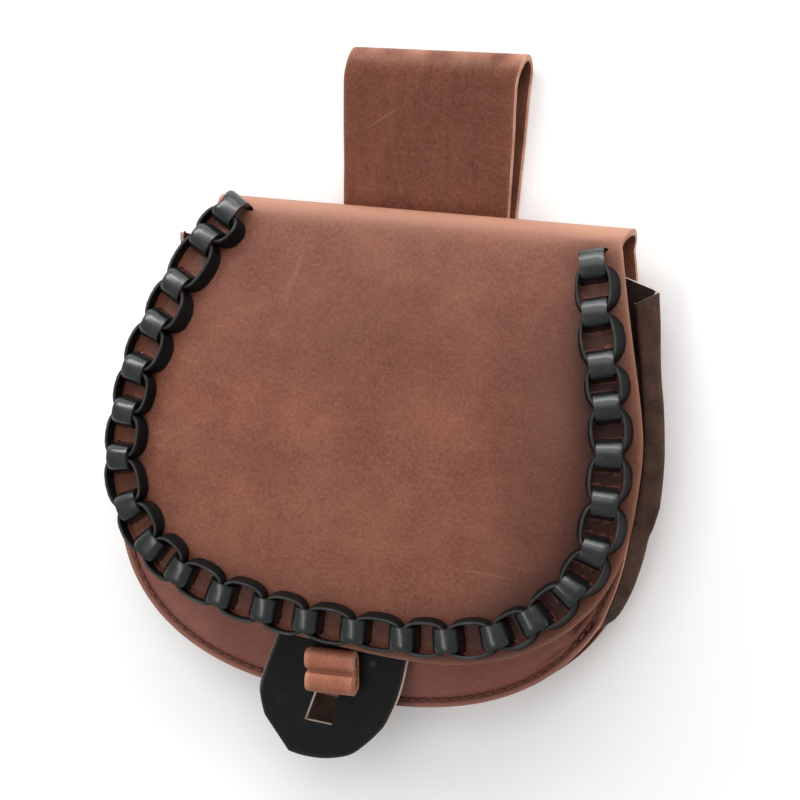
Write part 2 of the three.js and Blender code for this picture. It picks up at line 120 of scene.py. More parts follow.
def bottomAt(cut, share):
    depth = max(0.0, 1 - abs(share) ** cut["roundness"]) ** (1 / cut["roundness"])
    return lerp(cut["cornerY"], cut["bottomY"], depth) + cut["lean"] * share


def edgeLine(cut, leftTopY, rightTopY, sideSteps=60, bottomSteps=160):
    points = []
    for i in range(sideSteps):
        y = lerp(leftTopY, bottomAt(cut, -1), i / sideSteps)
        points.append(Vector((-halfWidthAt(cut, y), y)))
    for i in range(bottomSteps + 1):
        share = math.sin((i / bottomSteps - 0.5) * math.pi)
        points.append(Vector((share * cut["halfWidth"], bottomAt(cut, share))))
    for i in range(1, sideSteps + 1):
        y = lerp(bottomAt(cut, 1), rightTopY, i / sideSteps)
        points.append(Vector((halfWidthAt(cut, y), y)))
    return measured(points)


# A line with its lengths and directions, so that a place on it is found by distance
def measured(points):
    lengths = [0.0]
    for a, b in zip(points, points[1:]):
        lengths.append(lengths[-1] + (b - a).length)
    ways = []
    for i in range(len(points)):
        way = points[min(i + 1, len(points) - 1)] - points[max(i - 1, 0)]
        ways.append(way.normalized())
    return {"points": points, "lengths": lengths, "ways": ways, "length": lengths[-1]}


def onLine(line, distance):
    lengths = line["lengths"]
    k = clamp(bisect.bisect_right(lengths, distance) - 1, 0, len(lengths) - 2)
    t = (distance - lengths[k]) / max(lengths[k + 1] - lengths[k], 1e-9)
    way = line["ways"][k].lerp(line["ways"][k + 1], clamp(t)).normalized()
    return line["points"][k].lerp(line["points"][k + 1], t), way


def atShare(line, share):
    return onLine(line, share * line["length"])


def besideLine(line, distance, outwards):
    point, way = onLine(line, distance)
    return Vector((point.x + way.y * outwards, point.y - way.x * outwards))


# A smooth line through a few points
def smoothLine(points, steps):
    fine = []
    for i in range(len(points) - 1):
        a, b, c, d = [points[clamp(i + k, 0, len(points) - 1)] for k in (-1, 0, 1, 2)]
        for s in range(steps):
            t = s / steps
            fine.append(0.5 * (2 * b + (c - a) * t + (2 * a - 5 * b + 4 * c - d) * t * t
                               + (3 * b - a - 3 * c + d) * t ** 3))
    return fine + [points[-1].copy()]


# Flat place on a panel: across from its left to its right side, down from its top line to its round edge
def panelPatch(line):
    points, ways, lengths = line["points"], line["ways"], line["lengths"]
    leftTurn = next(lengths[i] for i, way in enumerate(ways) if way.x + way.y > 0)
    rightTurn = next(lengths[i] for i, way in enumerate(ways) if way.y > way.x)
    topLeft, topRight = points[0], points[-1]
    lowLeft, lowRight = onLine(line, leftTurn)[0], onLine(line, rightTurn)[0]

    def place(across, down):
        left = onLine(line, leftTurn * down)[0]
        right = onLine(line, line["length"] - (line["length"] - rightTurn) * down)[0]
        low = onLine(line, lerp(leftTurn, rightTurn, across))[0]
        top = topLeft.lerp(topRight, across)
        corners = top.lerp(lowLeft.lerp(lowRight, across), down)
        return top.lerp(low, down) + left.lerp(right, across) - corners
    return place


# Distance from a line, found by its nearest point
def nearness(line, spacing=0.5):
    count = int(line["length"] / spacing) + 1
    tree = kdtree.KDTree(count)
    for i in range(count):
        point = onLine(line, i * spacing)[0]
        tree.insert((point.x, point.y, 0), i)
    tree.balance()
    return lambda x, y: tree.find((x, y, 0))[2]


# Colours

def linearColour(code):
    channels = [int(code[i:i + 2], 16) / 255 for i in (1, 3, 5)]
    return [c / 12.92 if c <= 0.04045 else ((c + 0.055) / 1.055) ** 2.4 for c in channels] + [1.0]


# An input that is given a socket is linked, and any other is set
def setInputs(tree, node, inputs):
    for key, value in inputs.items():
        if isinstance(value, bpy.types.NodeSocket):
            tree.links.new(value, node.inputs[key])
        else:
            node.inputs[key].default_value = value


def addNode(tree, kind, inputs={}, output=0, **settings):
    node = tree.nodes.new("ShaderNode" + kind)
    for key, value in settings.items():
        setattr(node, key, value)
    setInputs(tree, node, inputs)
    return node.outputs[output]


# A new material with its node tree, its shader, the place on the object and its tones made linear
def newMaterial(name, tones):
    material = bpy.data.materials.new(name)
    material.use_nodes = True
    tree = material.node_tree
    place = addNode(tree, "TexCoord", output="Object")
    linearTones = {tone: linearColour(code) for tone, code in tones.items()}
    return material, tree, tree.nodes["Principled BSDF"], place, linearTones


# Pattern scale for a feature of that many millimetres
def featureScale(size):
    return 1 / (size * mm)


# Oiled pull-up cowhide: a waxy brown that clouds from red brown to tan, paler where it is bent, rubbed or
# scratched and where a highlight is painted, darker where it is dirty and where shade is painted, with fine
# pores and a soft sheen. A mark is its tone, strength, place, angle and half sizes.
def oiledCowhide(name, tones, marks=(), streaks=0.0):
    material, tree, shader, place, tones = newMaterial(name, tones)
    # clouds, blotches, and a grain drawn a little coarser than real so that it shows
    cloud, blotch, grain = [
        addNode(tree, "TexNoise", {
            "Vector": place, "Scale": featureScale(size), "Detail": detail, "Roughness": rough})
        for size, detail, rough in ((28, 4, 0.62), (8, 5, 0.66), (1.1, 3, 0.6))]
    layers = [
        (tone, addNode(tree, "MapRange", {"Value": pattern, "From Min": low, "From Max": high, "To Max": most}))
        for tone, pattern, low, high, most in (
            ("light", cloud, 0.31, 0.69, 1), ("deep", blotch, 0.3, 0.7, 0.55), ("pullUpAndHighlight", grain, 0.35, 0.7, 0.19))]
    # wear and painted light follow the blotches a little
    wearAndLight, grimeAndShade = [addNode(tree, "Attribute", output="Fac", attribute_name=key) for key in ("wearAndLight", "grimeAndShade")]
    uneven = addNode(tree, "Math", {0: blotch, 1: 0.5, 2: -0.25}, operation="MULTIPLY_ADD")
    layers.append(("pullUpAndHighlight", addNode(tree, "Math", {0: wearAndLight, 1: uneven, 2: wearAndLight}, operation="MULTIPLY_ADD")))
    # scratches and stains waver by about a millimetre
    wander = addNode(tree, "TexNoise", {"Vector": place, "Scale": featureScale(7)}, "Color")
    waver = addNode(tree, "VectorMath", {0: wander, 1: (1.2 * mm, 1.2 * mm, 0), 2: place},
                    operation="MULTIPLY_ADD")
    for tone, strength, x, y, z, angle, halfLength, halfWidth in marks:
        spot = addNode(tree, "Mapping", {
            "Vector": waver, "Location": (x * mm, y * mm, z * mm), "Rotation": (0, 0, math.radians(angle)),
            "Scale": (halfLength * mm, halfWidth * mm, 30 * mm)}, vector_type="TEXTURE")
        away = addNode(tree, "VectorMath", {0: spot}, "Value", operation="LENGTH")
        mark = addNode(tree, "MapRange", {"Value": away, "From Min": 1, "From Max": 0.35, "To Max": strength},
                       interpolation_type="SMOOTHSTEP")
        layers.append((tone, mark))
    if streaks:
        # grease marks drawn out along the strap, a few millimetres wide
        drawn = addNode(tree, "Mapping", {"Vector": place, "Rotation": (0, 0, math.radians(5)),
                                          "Scale": (4.5 * mm, 17 * mm, 20 * mm)}, vector_type="TEXTURE")
        streak = addNode(tree, "TexNoise", {"Vector": drawn, "Scale": 1, "Detail": 4, "Roughness": 0.7})
        share = addNode(tree, "MapRange", {"Value": streak, "From Min": 0.5, "From Max": 0.75, "To Max": streaks})
        grimeAndShade = addNode(tree, "Math", {0: grimeAndShade, 1: share}, operation="ADD")
    # grime and painted shade mix towards the darkest tone
    layers.append(("grimeAndShade", grimeAndShade))
    colour = tones["dark"]
    for tone, share in layers:
        colour = addNode(tree, "Mix", {0: share, 6: colour, 7: tones[tone]}, 2, data_type="RGBA")
    roughness = addNode(tree, "MapRange", {"Value": blotch, "To Min": 0.42, "To Max": 0.62})
    pores = addNode(tree, "TexVoronoi", {"Vector": place, "Scale": featureScale(1.3)})
    bump = (0, 0, 0)
    for pattern, strength, depth in ((pores, 0.35, 0.12), (grain, 0.45, 0.16), (blotch, 0.35, 0.5)):
        bump = addNode(tree, "Bump", {"Height": pattern, "Normal": bump, "Strength": strength,
                                      "Distance": depth * mm})
    setInputs(tree, shader, {"Base Color": colour, "Roughness": roughness, "IOR": 1.45, "Normal": bump,
                             "Specular IOR Level": 0.38})
    return material


# Raw cut edge or flesh side of hide: matt loose fibres, paler than the finished face
def rawHide(name, tones, roughness=0.85):
    material, tree, shader, place, tones = newMaterial(name, tones)
    fibre = addNode(tree, "TexNoise", {
        "Vector": place, "Scale": featureScale(1.2), "Detail": 5, "Roughness": 0.7})
    patch = addNode(tree, "TexNoise", {"Vector": place, "Scale": featureScale(9), "Detail": 3})
    both = addNode(tree, "Math", {0: fibre, 1: 0.6, 2: patch}, operation="MULTIPLY_ADD")
    share = addNode(tree, "MapRange", {"Value": both, "From Min": 0.55, "From Max": 1.05})
    colour = addNode(tree, "Mix", {0: share, 6: tones["dark"], 7: tones["light"]}, 2, data_type="RGBA")
    bump = addNode(tree, "Bump", {"Height": fibre, "Strength": 0.6, "Distance": 0.3 * mm})
    setInputs(tree, shader, {"Base Color": colour, "Roughness": roughness, "IOR": 1.45, "Normal": bump})
    return material


# Waxed or matt black leather: a charcoal that greys on rubbed edges, and on the rings' rims under a painted
# highlight, with short pores and soft gloss
def blackHide(name, tones, gloss):
    material, tree, shader, place, tones = newMaterial(name, tones)
    cloud = addNode(tree, "TexNoise", {"Vector": place, "Scale": featureScale(6), "Detail": 5, "Roughness": 0.65})
    share = addNode(tree, "MapRange", {"Value": cloud, "From Min": 0.35, "From Max": 0.7})
    base = addNode(tree, "Mix", {0: share, 6: tones["dark"], 7: tones["light"]}, 2, data_type="RGBA")
    wearAndLight = addNode(tree, "Attribute", output="Fac", attribute_name="wearAndLight")
    worn = addNode(tree, "Mix", {0: wearAndLight, 6: base, 7: tones["rubAndHighlight"]}, 2, data_type="RGBA")
    grain = addNode(tree, "TexNoise", {
        "Vector": place, "Scale": featureScale(0.9), "Detail": 4, "Roughness": 0.6})
    roughness = addNode(tree, "MapRange", {"Value": cloud, "To Min": gloss["roughness"] - 0.1,
                                           "To Max": gloss["roughness"] + 0.12})
    bump = addNode(tree, "Bump", {"Height": grain, "Strength": gloss["grain"], "Distance": 0.15 * mm})
    setInputs(tree, shader, {"Base Color": worn, "Roughness": roughness, "IOR": 1.5, "Normal": bump,
                             "Specular IOR Level": gloss["specular"], "Coat Weight": gloss["coat"],
                             "Coat Roughness": 0.15})
    return material


# Waxed linen thread: dull red brown with a fine twist
def waxedThread(name, tones):
    material, tree, shader, place, tones = newMaterial(name, tones)
    twist = addNode(tree, "TexNoise", {"Vector": place, "Scale": featureScale(0.8), "Detail": 2})
    colour = addNode(tree, "Mix", {0: twist, 6: tones["dark"], 7: tones["light"]}, 2, data_type="RGBA")
    bump = addNode(tree, "Bump", {"Height": twist, "Strength": 0.5, "Distance": 0.2 * mm})
    setInputs(tree, shader, {"Base Color": colour, "Roughness": 0.6, "IOR": 1.5, "Normal": bump})
    return material


# On the flap the darkest tone is laid as painted shade, and the palest tone also paints the fold's highlight
brownTones = {"dark": "#6F3826", "light": "#8C523B", "deep": "#673325", "pullUpAndHighlight": "#BE8B73", "grimeAndShade": "#39170F"}
brownMarks = [("pullUpAndHighlight", 0.26, 49, -46.5, 32, 1, 16, 0.35), ("pullUpAndHighlight", 0.22, 59, -42.1, 32, -5, 8, 0.3),
              ("pullUpAndHighlight", 0.16, -38.6, 38.2, 30, 82, 11, 1.5), ("pullUpAndHighlight", 0.2, -74.4, -22.9, 28, 23, 5.5, 0.6),
              ("pullUpAndHighlight", 0.2, -73.4, -27, 28, 6, 4, 0.6)]
brownHide = oiledCowhide("oiled pull-up cowhide", brownTones, brownMarks)
# On the front the darkest tone is laid as painted shade in the seam groove and creases, and the palest lifts the
# whole front evenly as painted light
frontTones = {"dark": "#773A2D", "light": "#92564A", "deep": "#6C342A", "pullUpAndHighlight": "#BC8474", "grimeAndShade": "#34160F"}
frontHide = oiledCowhide("oiled pull-up cowhide front", frontTones)
strapTones = {"dark": "#69301C", "light": "#8B4A2F", "deep": "#5F2B18", "pullUpAndHighlight": "#C08C72", "grimeAndShade": "#33150D"}
strapMarks = [("pullUpAndHighlight", 0.32, -21, 96, 14, 39, 10, 0.4), ("grimeAndShade", 0.24, -6.5, 113.7, 14, 92, 6, 0.7),
              ("grimeAndShade", 0.24, -1.4, 119, 14, 90, 2.5, 0.5), ("grimeAndShade", 0.2, -10.7, 102, 12, 97, 7, 0.6),
              ("grimeAndShade", 0.24, -18, 79.5, 10, 98, 10, 3), ("grimeAndShade", 0.2, 2.5, 89, 10, 98, 15, 0.8),
              ("grimeAndShade", 0.2, 13, 82.6, 10, 99, 8, 1)]
strapHide = oiledCowhide("oiled pull-up cowhide strap", strapTones, strapMarks, 0.2)
brownEdge = rawHide("cut edge of brown hide", {"dark": "#A86B52", "light": "#E0B099"})
# Flesh side: its own reddish brown, darkened as painted shade for the hollow under the fold
brownFleshShaded = rawHide("flesh side of brown hide, darkened as painted shade", {"dark": "#5E3324", "light": "#86523C"}, 0.9)
# The slits' cut walls are painted near black, as shade, not in the pale colour of a cut edge
slitShade = rawHide("slit walls of brown hide in painted shade", {"dark": "#1C0E09", "light": "#331B14"}, 0.9)
suedeSplit = rawHide("brown suede split", {"dark": "#36241C", "light": "#604538"}, 0.92)
suedeEdge = rawHide("cut edge of suede split", {"dark": "#C2A493", "light": "#F2DCCF"})
# The gusset's inner side is painted near black, as shade
suedeInsideShade = rawHide("inside of suede split in painted shade", {"dark": "#170B07", "light": "#2B1811"}, 0.95)
waxedBlack = blackHide("waxed black leather", {"dark": "#0E1011", "light": "#1A1D1D", "rubAndHighlight": "#4A504D"},
                       {"roughness": 0.31, "grain": 0.05, "specular": 0.7, "coat": 0.3})
# The rings' rubbed tone also paints a highlight along their rims
edgedBlack = blackHide("black leather cut on edge", {"dark": "#0E0D0E", "light": "#191717", "rubAndHighlight": "#626764"},
                       {"roughness": 0.5, "grain": 0.3, "specular": 0.14, "coat": 0})
mattBlack = blackHide("matt black leather", {"dark": "#0C0D0E", "light": "#161819", "rubAndHighlight": "#8B7B6F"},
                      {"roughness": 0.66, "grain": 0.5, "specular": 0.25, "coat": 0})
# Cut edge of the black tab, slot walls included: a pale raw edge made paler still as painted light
blackEdgeLit = rawHide("cut edge of black leather with painted light", {"dark": "#CDB3A2", "light": "#FFF2E6"})
tanHide = oiledCowhide("tan oiled cowhide", {
    "dark": "#9C5A42", "light": "#B47359", "deep": "#905039", "pullUpAndHighlight": "#D69C7C", "grimeAndShade": "#5F2A1B"})
tanEdge = rawHide("cut edge of tan hide", {"dark": "#A5694F", "light": "#CF9A7E"})
redThread = waxedThread("waxed linen thread", {"dark": "#55291F", "light": "#8A5544"})
print("materials made")


# Sheets and pieces

# A closed sheet of leather: place gives a point of its outer skin with its wear and painted light and its
# grime and painted shade, and the thickness goes inwards; form holds its columns, rows, thick and bevel.
# Material 0 is the face, 1 the raw cut edge with its rounded rim, 2 the inner side.
def leatherSheet(form, place, inside):
    sheet = bmesh.new()
    wearAndLightLayer = sheet.verts.layers.float.new("wearAndLight")
    grimeAndShadeLayer = sheet.verts.layers.float.new("grimeAndShade")
    bmesh.ops.create_grid(sheet, x_segments=form["columns"], y_segments=form["rows"], size=0.5)
    for vert in sheet.verts:
        vert.co, vert[wearAndLightLayer], vert[grimeAndShadeLayer] = place(vert.co.x + 0.5, 0.5 - vert.co.y)
    sheet.normal_update()
    facing = sum(face.normal.dot(face.calc_center_median() - inside) * face.calc_area() for face in sheet.faces)
    if facing < 0:
        bmesh.ops.reverse_faces(sheet, faces=sheet.faces[:])
    outerCount = len(sheet.verts)
    bmesh.ops.solidify(sheet, geom=sheet.faces[:], thickness=form["thick"] * mm)
    sheet.verts.index_update()
    for face in sheet.faces:
        outer = sum(vert.index < outerCount for vert in face.verts)
        face.material_index = 0 if outer == len(face.verts) else 2 if outer == 0 else 1
    rims = [edge for edge in sheet.edges
            if len(edge.link_faces) == 2 and sum(face.material_index == 1 for face in edge.link_faces) == 1]
    made = bmesh.ops.bevel(sheet, geom=rims, offset=form["bevel"] * mm, offset_type="OFFSET", affect="EDGES",
                           segments=2, profile=0.5, material=-1, clamp_overlap=True)
    for face in made["faces"]:
        face.material_index = 1
    return sheet


# A closed tube from a grid that is wrapped round, and along as well where it is a ring
def wrappedTube(around, along, place, ring=False):
    tube = bmesh.new()
    wearAndLightLayer = tube.verts.layers.float.new("wearAndLight")
    bmesh.ops.create_grid(tube, x_segments=around, y_segments=along, size=0.5)
    for vert in tube.verts:
        down = (vert.co.y + 0.5) % 1.0 if ring else vert.co.y + 0.5
        vert.co, vert[wearAndLightLayer] = place((vert.co.x + 0.5) % 1.0, down)
    bmesh.ops.remove_doubles(tube, verts=tube.verts[:], dist=0.0005 * mm)
    if not ring:
        bmesh.ops.holes_fill(tube, edges=[edge for edge in tube.edges if edge.is_boundary], sides=0)
    bmesh.ops.recalc_face_normals(tube, faces=tube.faces[:])
    return tube


def meshFrom(shape, name):
    data = bpy.data.meshes.new(name)
    shape.to_mesh(data)
    shape.free()
    return data


def addObject(name, data):
    item = bpy.data.objects.new(name, data)
    bpy.context.scene.collection.objects.link(item)
    return item


def smoothFaces(data, sharp):
    data.polygons.foreach_set("use_smooth", [True] * len(data.polygons))
    data.set_sharp_from_angle(angle=math.radians(sharp))


def addPiece(name, shape, materials, node, sharp=sheetSharp):
    data = meshFrom(shape, name)
    for material in materials:
        data.materials.append(material)
    smoothFaces(data, sharp)
    piece = addObject(name, data)
    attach(piece, "root")
    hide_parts(node)
    return piece


# Cuts a shape out of a sheet; the cut faces take one of its materials
def cutAway(piece, shape, materialIndex):
    for face in shape.faces:
        face.material_index = materialIndex
    data = meshFrom(shape, "cutter")
    for material in piece.data.materials:
        data.materials.append(material)
    cutter = addObject("cutter", data)
    cut = piece.modifiers.new("cut", "BOOLEAN")
    cut.operation = "DIFFERENCE"
    cut.solver = "EXACT"
    cut.object = cutter
    depsgraph = bpy.context.evaluated_depsgraph_get()
    whole = piece.data
    piece.data = bpy.data.meshes.new_from_object(piece.evaluated_get(depsgraph))
    piece.data.name = whole.name
    piece.modifiers.clear()
    bpy.data.objects.remove(cutter)
    bpy.data.meshes.remove(data)
    bpy.data.meshes.remove(whole)
    smoothFaces(piece.data, sheetSharp)


# Sewn stitches as short rounded lengths of thread, each from its middle and its direction
def addStitches(shape, places, stitch, materialIndex):
    up = Vector((0, 0, 1))
    size = Matrix.Diagonal((stitch["length"] / 2 * mm, stitch["width"] / 2 * mm, stitch["height"] * mm, 1))
    for centre, along in places:
        side = up.cross(along).normalized()
        along = side.cross(up).normalized()
        slant = along * math.cos(stitch["slant"]) + side * math.sin(stitch["slant"])
        turn = Matrix((slant, up.cross(slant), up)).transposed().to_4x4()
        made = bmesh.ops.create_icosphere(shape, subdivisions=2, radius=1,
                                          matrix=Matrix.Translation(centre) @ turn @ size)
        for face in {face for vert in made["verts"] for face in vert.link_faces}:
            face.material_index = materialIndex


# Form of the flap: it leaves the fold at the top, crests low down and bends down at its flanks
flap = {"foldRadius": 7.5, "foldY": 75, "leave": math.radians(21), "slant": 0.093, "slantFromY": 10,
        "crestY": -35, "flankStart": 55, "flankEnd": 94.7, "flankDrop": 7, "evenPast": 6}
flapWaves = [(0.45, 48, 2.3), (0.2, 17, 5.1)]
foldRadius = flap["foldRadius"]
foldEnd = flap["foldY"] + foldRadius * math.sin(flap["leave"])
foldEndZ = foldRadius * (1 + math.cos(flap["leave"]))
crestFall = math.tan(flap["leave"]) / (2 * (foldEnd - flap["crestY"]))
crestZ = foldEndZ + crestFall * (foldEnd - flap["crestY"]) ** 2
foldTurn = math.pi - flap["leave"]


def slantAt(y):
    return flap["slant"] * ease(y, flap["slantFromY"], flap["foldY"])


def levelOf(x, y):
    return y - x * slantAt(y)


def crownZ(level):
    return crestZ - crestFall * (level - flap["crestY"]) ** 2


# Hand-worked leather is never quite even
def unevenness(x, y):
    return sum(wave(form, x, y) for form in flapWaves)


def flapPoint(x, y, height):
    level = levelOf(x, y)
    reachOut = flap["flankEnd"] - flap["flankStart"]
    flank = max(0.0, abs(x) - flap["flankStart"]) / reachOut
    drop = flap["flankDrop"] * flank ** 2
    past = level - foldEnd
    if past > 0:
        turn = flap["leave"] + past / foldRadius
        reach = foldRadius + height + unevenness(x, foldEnd) * max(0.0, 1 - past / flap["evenPast"])
        kept = (1 + math.cos(math.pi * (turn - flap["leave"]) / foldTurn)) / 2
        foldY = flap["foldY"] + flap["slant"] * x + reach * math.sin(turn)
        return Vector((x, foldY, foldRadius + reach * math.cos(turn) - drop * kept))
    slopeY = -2 * crestFall * (level - flap["crestY"])
    flankSlope = 2 * flap["flankDrop"] * flank * math.copysign(1, x) / reachOut
    up = Vector((slopeY * slantAt(y) + flankSlope, -slopeY, 1)).normalized()
    return Vector((x, y, crownZ(level) - drop)) + up * (height + unevenness(x, min(y, foldEnd)))


# Heights of the left and right end of a top line that follows the fold's slant
def topEnds(cut, level):
    ends = []
    for side in (-1, 1):
        y = level
        for _ in range(12):
            y = level + side * flap["slant"] * halfWidthAt(cut, y)
        ends.append(y)
    return ends


# The trim's middle line, with the places of its bridges
trim = {"ringCount": 25, "leftTopY": 71.0, "rightTopY": 75.5}
# how far each bridge was set from its even place: along the trim, outwards
bridgeNudges = [(0, -2.7), (-4.1, -0.75), (-1.85, -0.3), (-2.2, -1.4), (-1.7, -0.8), (-2.4, -1), (-2.3, -0.6),
                (-1.3, -0.8), (-1.8, 0.3), (-3.9, 0.6), (-3.3, 0.3), (-2.7, 0), (-2.8, 0), (-1.3, 0), (0.6, 0),
                (0.6, 0), (1.8, 0.6), (0, -0.45), (0.2, -0.9), (-0.4, -0.3), (0.1, -0.8), (0.4, -1.3),
                (0.4, -1.2), (-1.3, -1.2), (0.1, -1.15), (0, -0.3)]
trimLine = edgeLine(trimCut, trim["leftTopY"], trim["rightTopY"])
bridgePlaces = [trimLine["length"] * k / trim["ringCount"] + nudge[0] for k, nudge in enumerate(bridgeNudges)]
nudgeRows = [(place, nudge[1]) for place, nudge in zip(bridgePlaces, bridgeNudges)]


def trimPoint(along, across, height):
    flat = besideLine(trimLine, along, across + readRows(nudgeRows, along))
    return flapPoint(flat.x, flat.y, height)


# Back and flap: one hide, up the back, round the fold and down the flap

flapSheet = {"columns": 120, "backRows": 34, "foldRows": 18, "flapRows": 72, "thick": 2.2, "bevel": 0.35,
             "edgeSteps": 480, "edgePast": 25, "insideZ": 14, "backFlare": (4.2, 40, 80), "foldFlare": 0.8}
# At the fold the flap is paler from pull-up wear and from a painted highlight. Beside and under the trim, inside
# the rings, towards its right side below the fold and beside the right run it is darkened as painted shade, less
# near its rim; high in its middle it is a little darker.
flapLook = {"fold": (1, 6, 5.8), "foldWearAndHighlight": 0.85, "foldRight": (0.35, 30, 75), "edge": (0.55, 0, 1.1),
            "rubbed": (0.12, 26, 8.0), "besideTrim": (0.22, 6, 9), "underTrim": (0.3, 0, 6),
            "rightSide": (0.42, 32, 62), "belowFold": (1, -75, -35), "high": (0.28, 47, 28),
            "middle": (1, -5, 66), "rightTrim": (0.2, 8, 6), "rightRun": (1, 40, 75), "rimShade": 0.35,
            "insideShade": (0.65, 2, 8), "back": (0.1, 0.1), "foldDarkening": 0.05}
# leather left outside the trim's middle line, by bridge: the flap is cut closer on its left
flapMargins = [(0, 4.2), (1, 6.3), (4, 6.6), (7, 7.0), (9, 7.9), (12, 7.4), (15, 9.4), (25, 9.3)]
flapSheet["rows"] = flapSheet["backRows"] + flapSheet["foldRows"] + flapSheet["flapRows"]
backLine = edgeLine(bodyCut, *topEnds(bodyCut, flap["foldY"]))


def flapEdge():
    points = []
    marginRows = [(bridgePlaces[bridge], margin) for bridge, margin in flapMargins]
    steps, past = flapSheet["edgeSteps"], flapSheet["edgePast"]
    for i in range(steps + 1):
        along = lerp(-past, trimLine["length"] + past, i / steps)
        point = besideLine(trimLine, along, readRows(marginRows, along))
        if levelOf(point.x, point.y) < foldEnd:
            points.append(point)
    return measured(points)


flapLine = flapEdge()
backPatch, flapPatch = panelPatch(backLine), panelPatch(flapLine)
flapEdgeDistance, trimDistance = nearness(flapLine), nearness(trimLine)


# The fold is paler from pull-up wear and from a painted highlight, strongest towards its right end
def foldWearAndHighlight(x, past):
    return (flapLook["foldWearAndHighlight"] + ramp(flapLook["foldRight"], x)) * bell(flapLook["fold"], past)


# Painted shade on the flap lies beside and under the trim, inside the rings, towards the right below the fold and
# beside the right run; its rim and rubbed patches are paler from wear
def flapMarks(x, y):
    edge, away = flapEdgeDistance(x, y), trimDistance(x, y)
    wearAndLight = foldWearAndHighlight(x, levelOf(x, y) - foldEnd) + bell(flapLook["edge"], edge)
    wearAndLight += max(0.0, wave(flapLook["rubbed"], x, y))
    grimeAndShade = bell(flapLook["besideTrim"], max(away, flapLook["besideTrim"][1])) + bell(flapLook["underTrim"], away)
    grimeAndShade += ramp(flapLook["rightSide"], x) * ramp(flapLook["belowFold"], -y)
    grimeAndShade += bell(flapLook["high"], y) * bell(flapLook["middle"], x)
    grimeAndShade += bell(flapLook["rightTrim"], away) * ramp(flapLook["rightRun"], x)
    return wearAndLight, grimeAndShade * (flapLook["rimShade"] + ramp(flapLook["insideShade"], edge))


def flapPlace(across, down):
    row = down * flapSheet["rows"]
    if row <= flapSheet["backRows"]:
        flat = backPatch(across, 1 - row / flapSheet["backRows"])
        flat.x += ramp(flapSheet["backFlare"], flat.y) * across ** 4
        return (toFrame((flat.x, flat.y, 0)), *flapLook["back"])
    row -= flapSheet["backRows"]
    if row < flapSheet["foldRows"]:
        share = row / flapSheet["foldRows"]
        left = lerp(backLine["points"][0].x, flapLine["points"][0].x, share)
        right = lerp(backLine["points"][-1].x + flapSheet["backFlare"][0], flapLine["points"][-1].x, share)
        x = lerp(left, right + flapSheet["foldFlare"] * math.sin(math.pi * share), across)
        past = foldRadius * foldTurn * (1 - share)
        point = flapPoint(x, foldEnd + past + flap["slant"] * x, 0)
        return toFrame(point), foldWearAndHighlight(x, past), flapLook["foldDarkening"]
    flat = flapPatch(across, (row - flapSheet["foldRows"]) / flapSheet["flapRows"])
    return (toFrame(flapPoint(flat.x, flat.y, 0)), *flapMarks(flat.x, flat.y))


flapShape = leatherSheet(flapSheet, flapPlace, toFrame((0, 0, flapSheet["insideZ"])))
flapPiece = addPiece("back_and_flap_hide", flapShape, [brownHide, brownEdge, brownFleshShaded, slitShade],
                     "back_and_flap")

# Slits that the lace goes through, with pointed ends
slitForm = {"along": 4.7, "ringClear": 1.5, "endMore": 0.3, "above": 0.7, "columns": 1, "rows": 3,
            "thick": 3.8, "bevel": 0.02, "insideZ": -8}
slitRows = [(-5.2, 0.08), (-4.15, 0.82), (4.15, 0.82), (5.2, 0.08)]  # across the trim, half width


# how far a slit lies from its bridge: closer where the ring on that side is short
def slitReach(bridge, side):
    ring = bridge if side > 0 else bridge - 1
    if not 0 <= ring < trim["ringCount"]:
        return slitForm["along"] + slitForm["endMore"]
    return min(slitForm["along"], (bridgePlaces[ring + 1] - bridgePlaces[ring]) / 2 - slitForm["ringClear"])


slits = bmesh.new()
for bridge, at in enumerate(bridgePlaces):
    for middle in (at - slitReach(bridge, -1), at + slitReach(bridge, 1)):
        def slitPlace(across, down):
            reach, half = slitRows[round(down * slitForm["rows"])]
            return toFrame(trimPoint(middle + (2 * across - 1) * half, reach, slitForm["above"])), 0, 0
        slit = leatherSheet(slitForm, slitPlace, toFrame(trimPoint(middle, 0, slitForm["insideZ"])))
        slitData = meshFrom(slit, "slit")
        slits.from_mesh(slitData)
        bpy.data.meshes.remove(slitData)
# the slits' cut walls take the near-black painted shade
cutAway(flapPiece, slits, 3)
print("back and flap made,", len(flapPiece.data.polygons), "faces")

# Front panel: a dome with a flat sewn lip

front = {"columns": 130, "rows": 96, "mouthY": 60, "lipZ": 17.4, "lipFall": 0.00107, "lipFallFromY": -20,
         "lipWidth": 4, "domeReach": 34, "clear": 7.6, "thick": 2.2, "bevel": 0.35, "seamInset": 2.5,
         "edgeSpacing": 0.35}
# The even lift of the whole front towards its pale tone is painted light under the flap's shadow; the seam groove
# and the creases are darkened as painted shade
frontLook = {"groove": (-0.6, 0, 0.75), "wave": (0.3, 22, 4.4), "waveInside": (1, 4, 14),
             "pucker": (0.12, 6, 1.2), "puckerReach": (1, 0, 5), "wearAndLight": 0.2, "rim": (0.4, 0, 1.0),
             "rubbed": (0.2, 15, 6.0), "seamShade": (0.65, 0, 0.9), "creaseShade": 0.6}
# the grid is closer near the edge, where the seam is: share of the columns or rows, share of the panel
frontColumns = [(0, 0), (0.22, 0.06), (0.78, 0.94), (1, 1)]
frontRows = [(0, 0), (0.7, 0.9), (1, 1)]
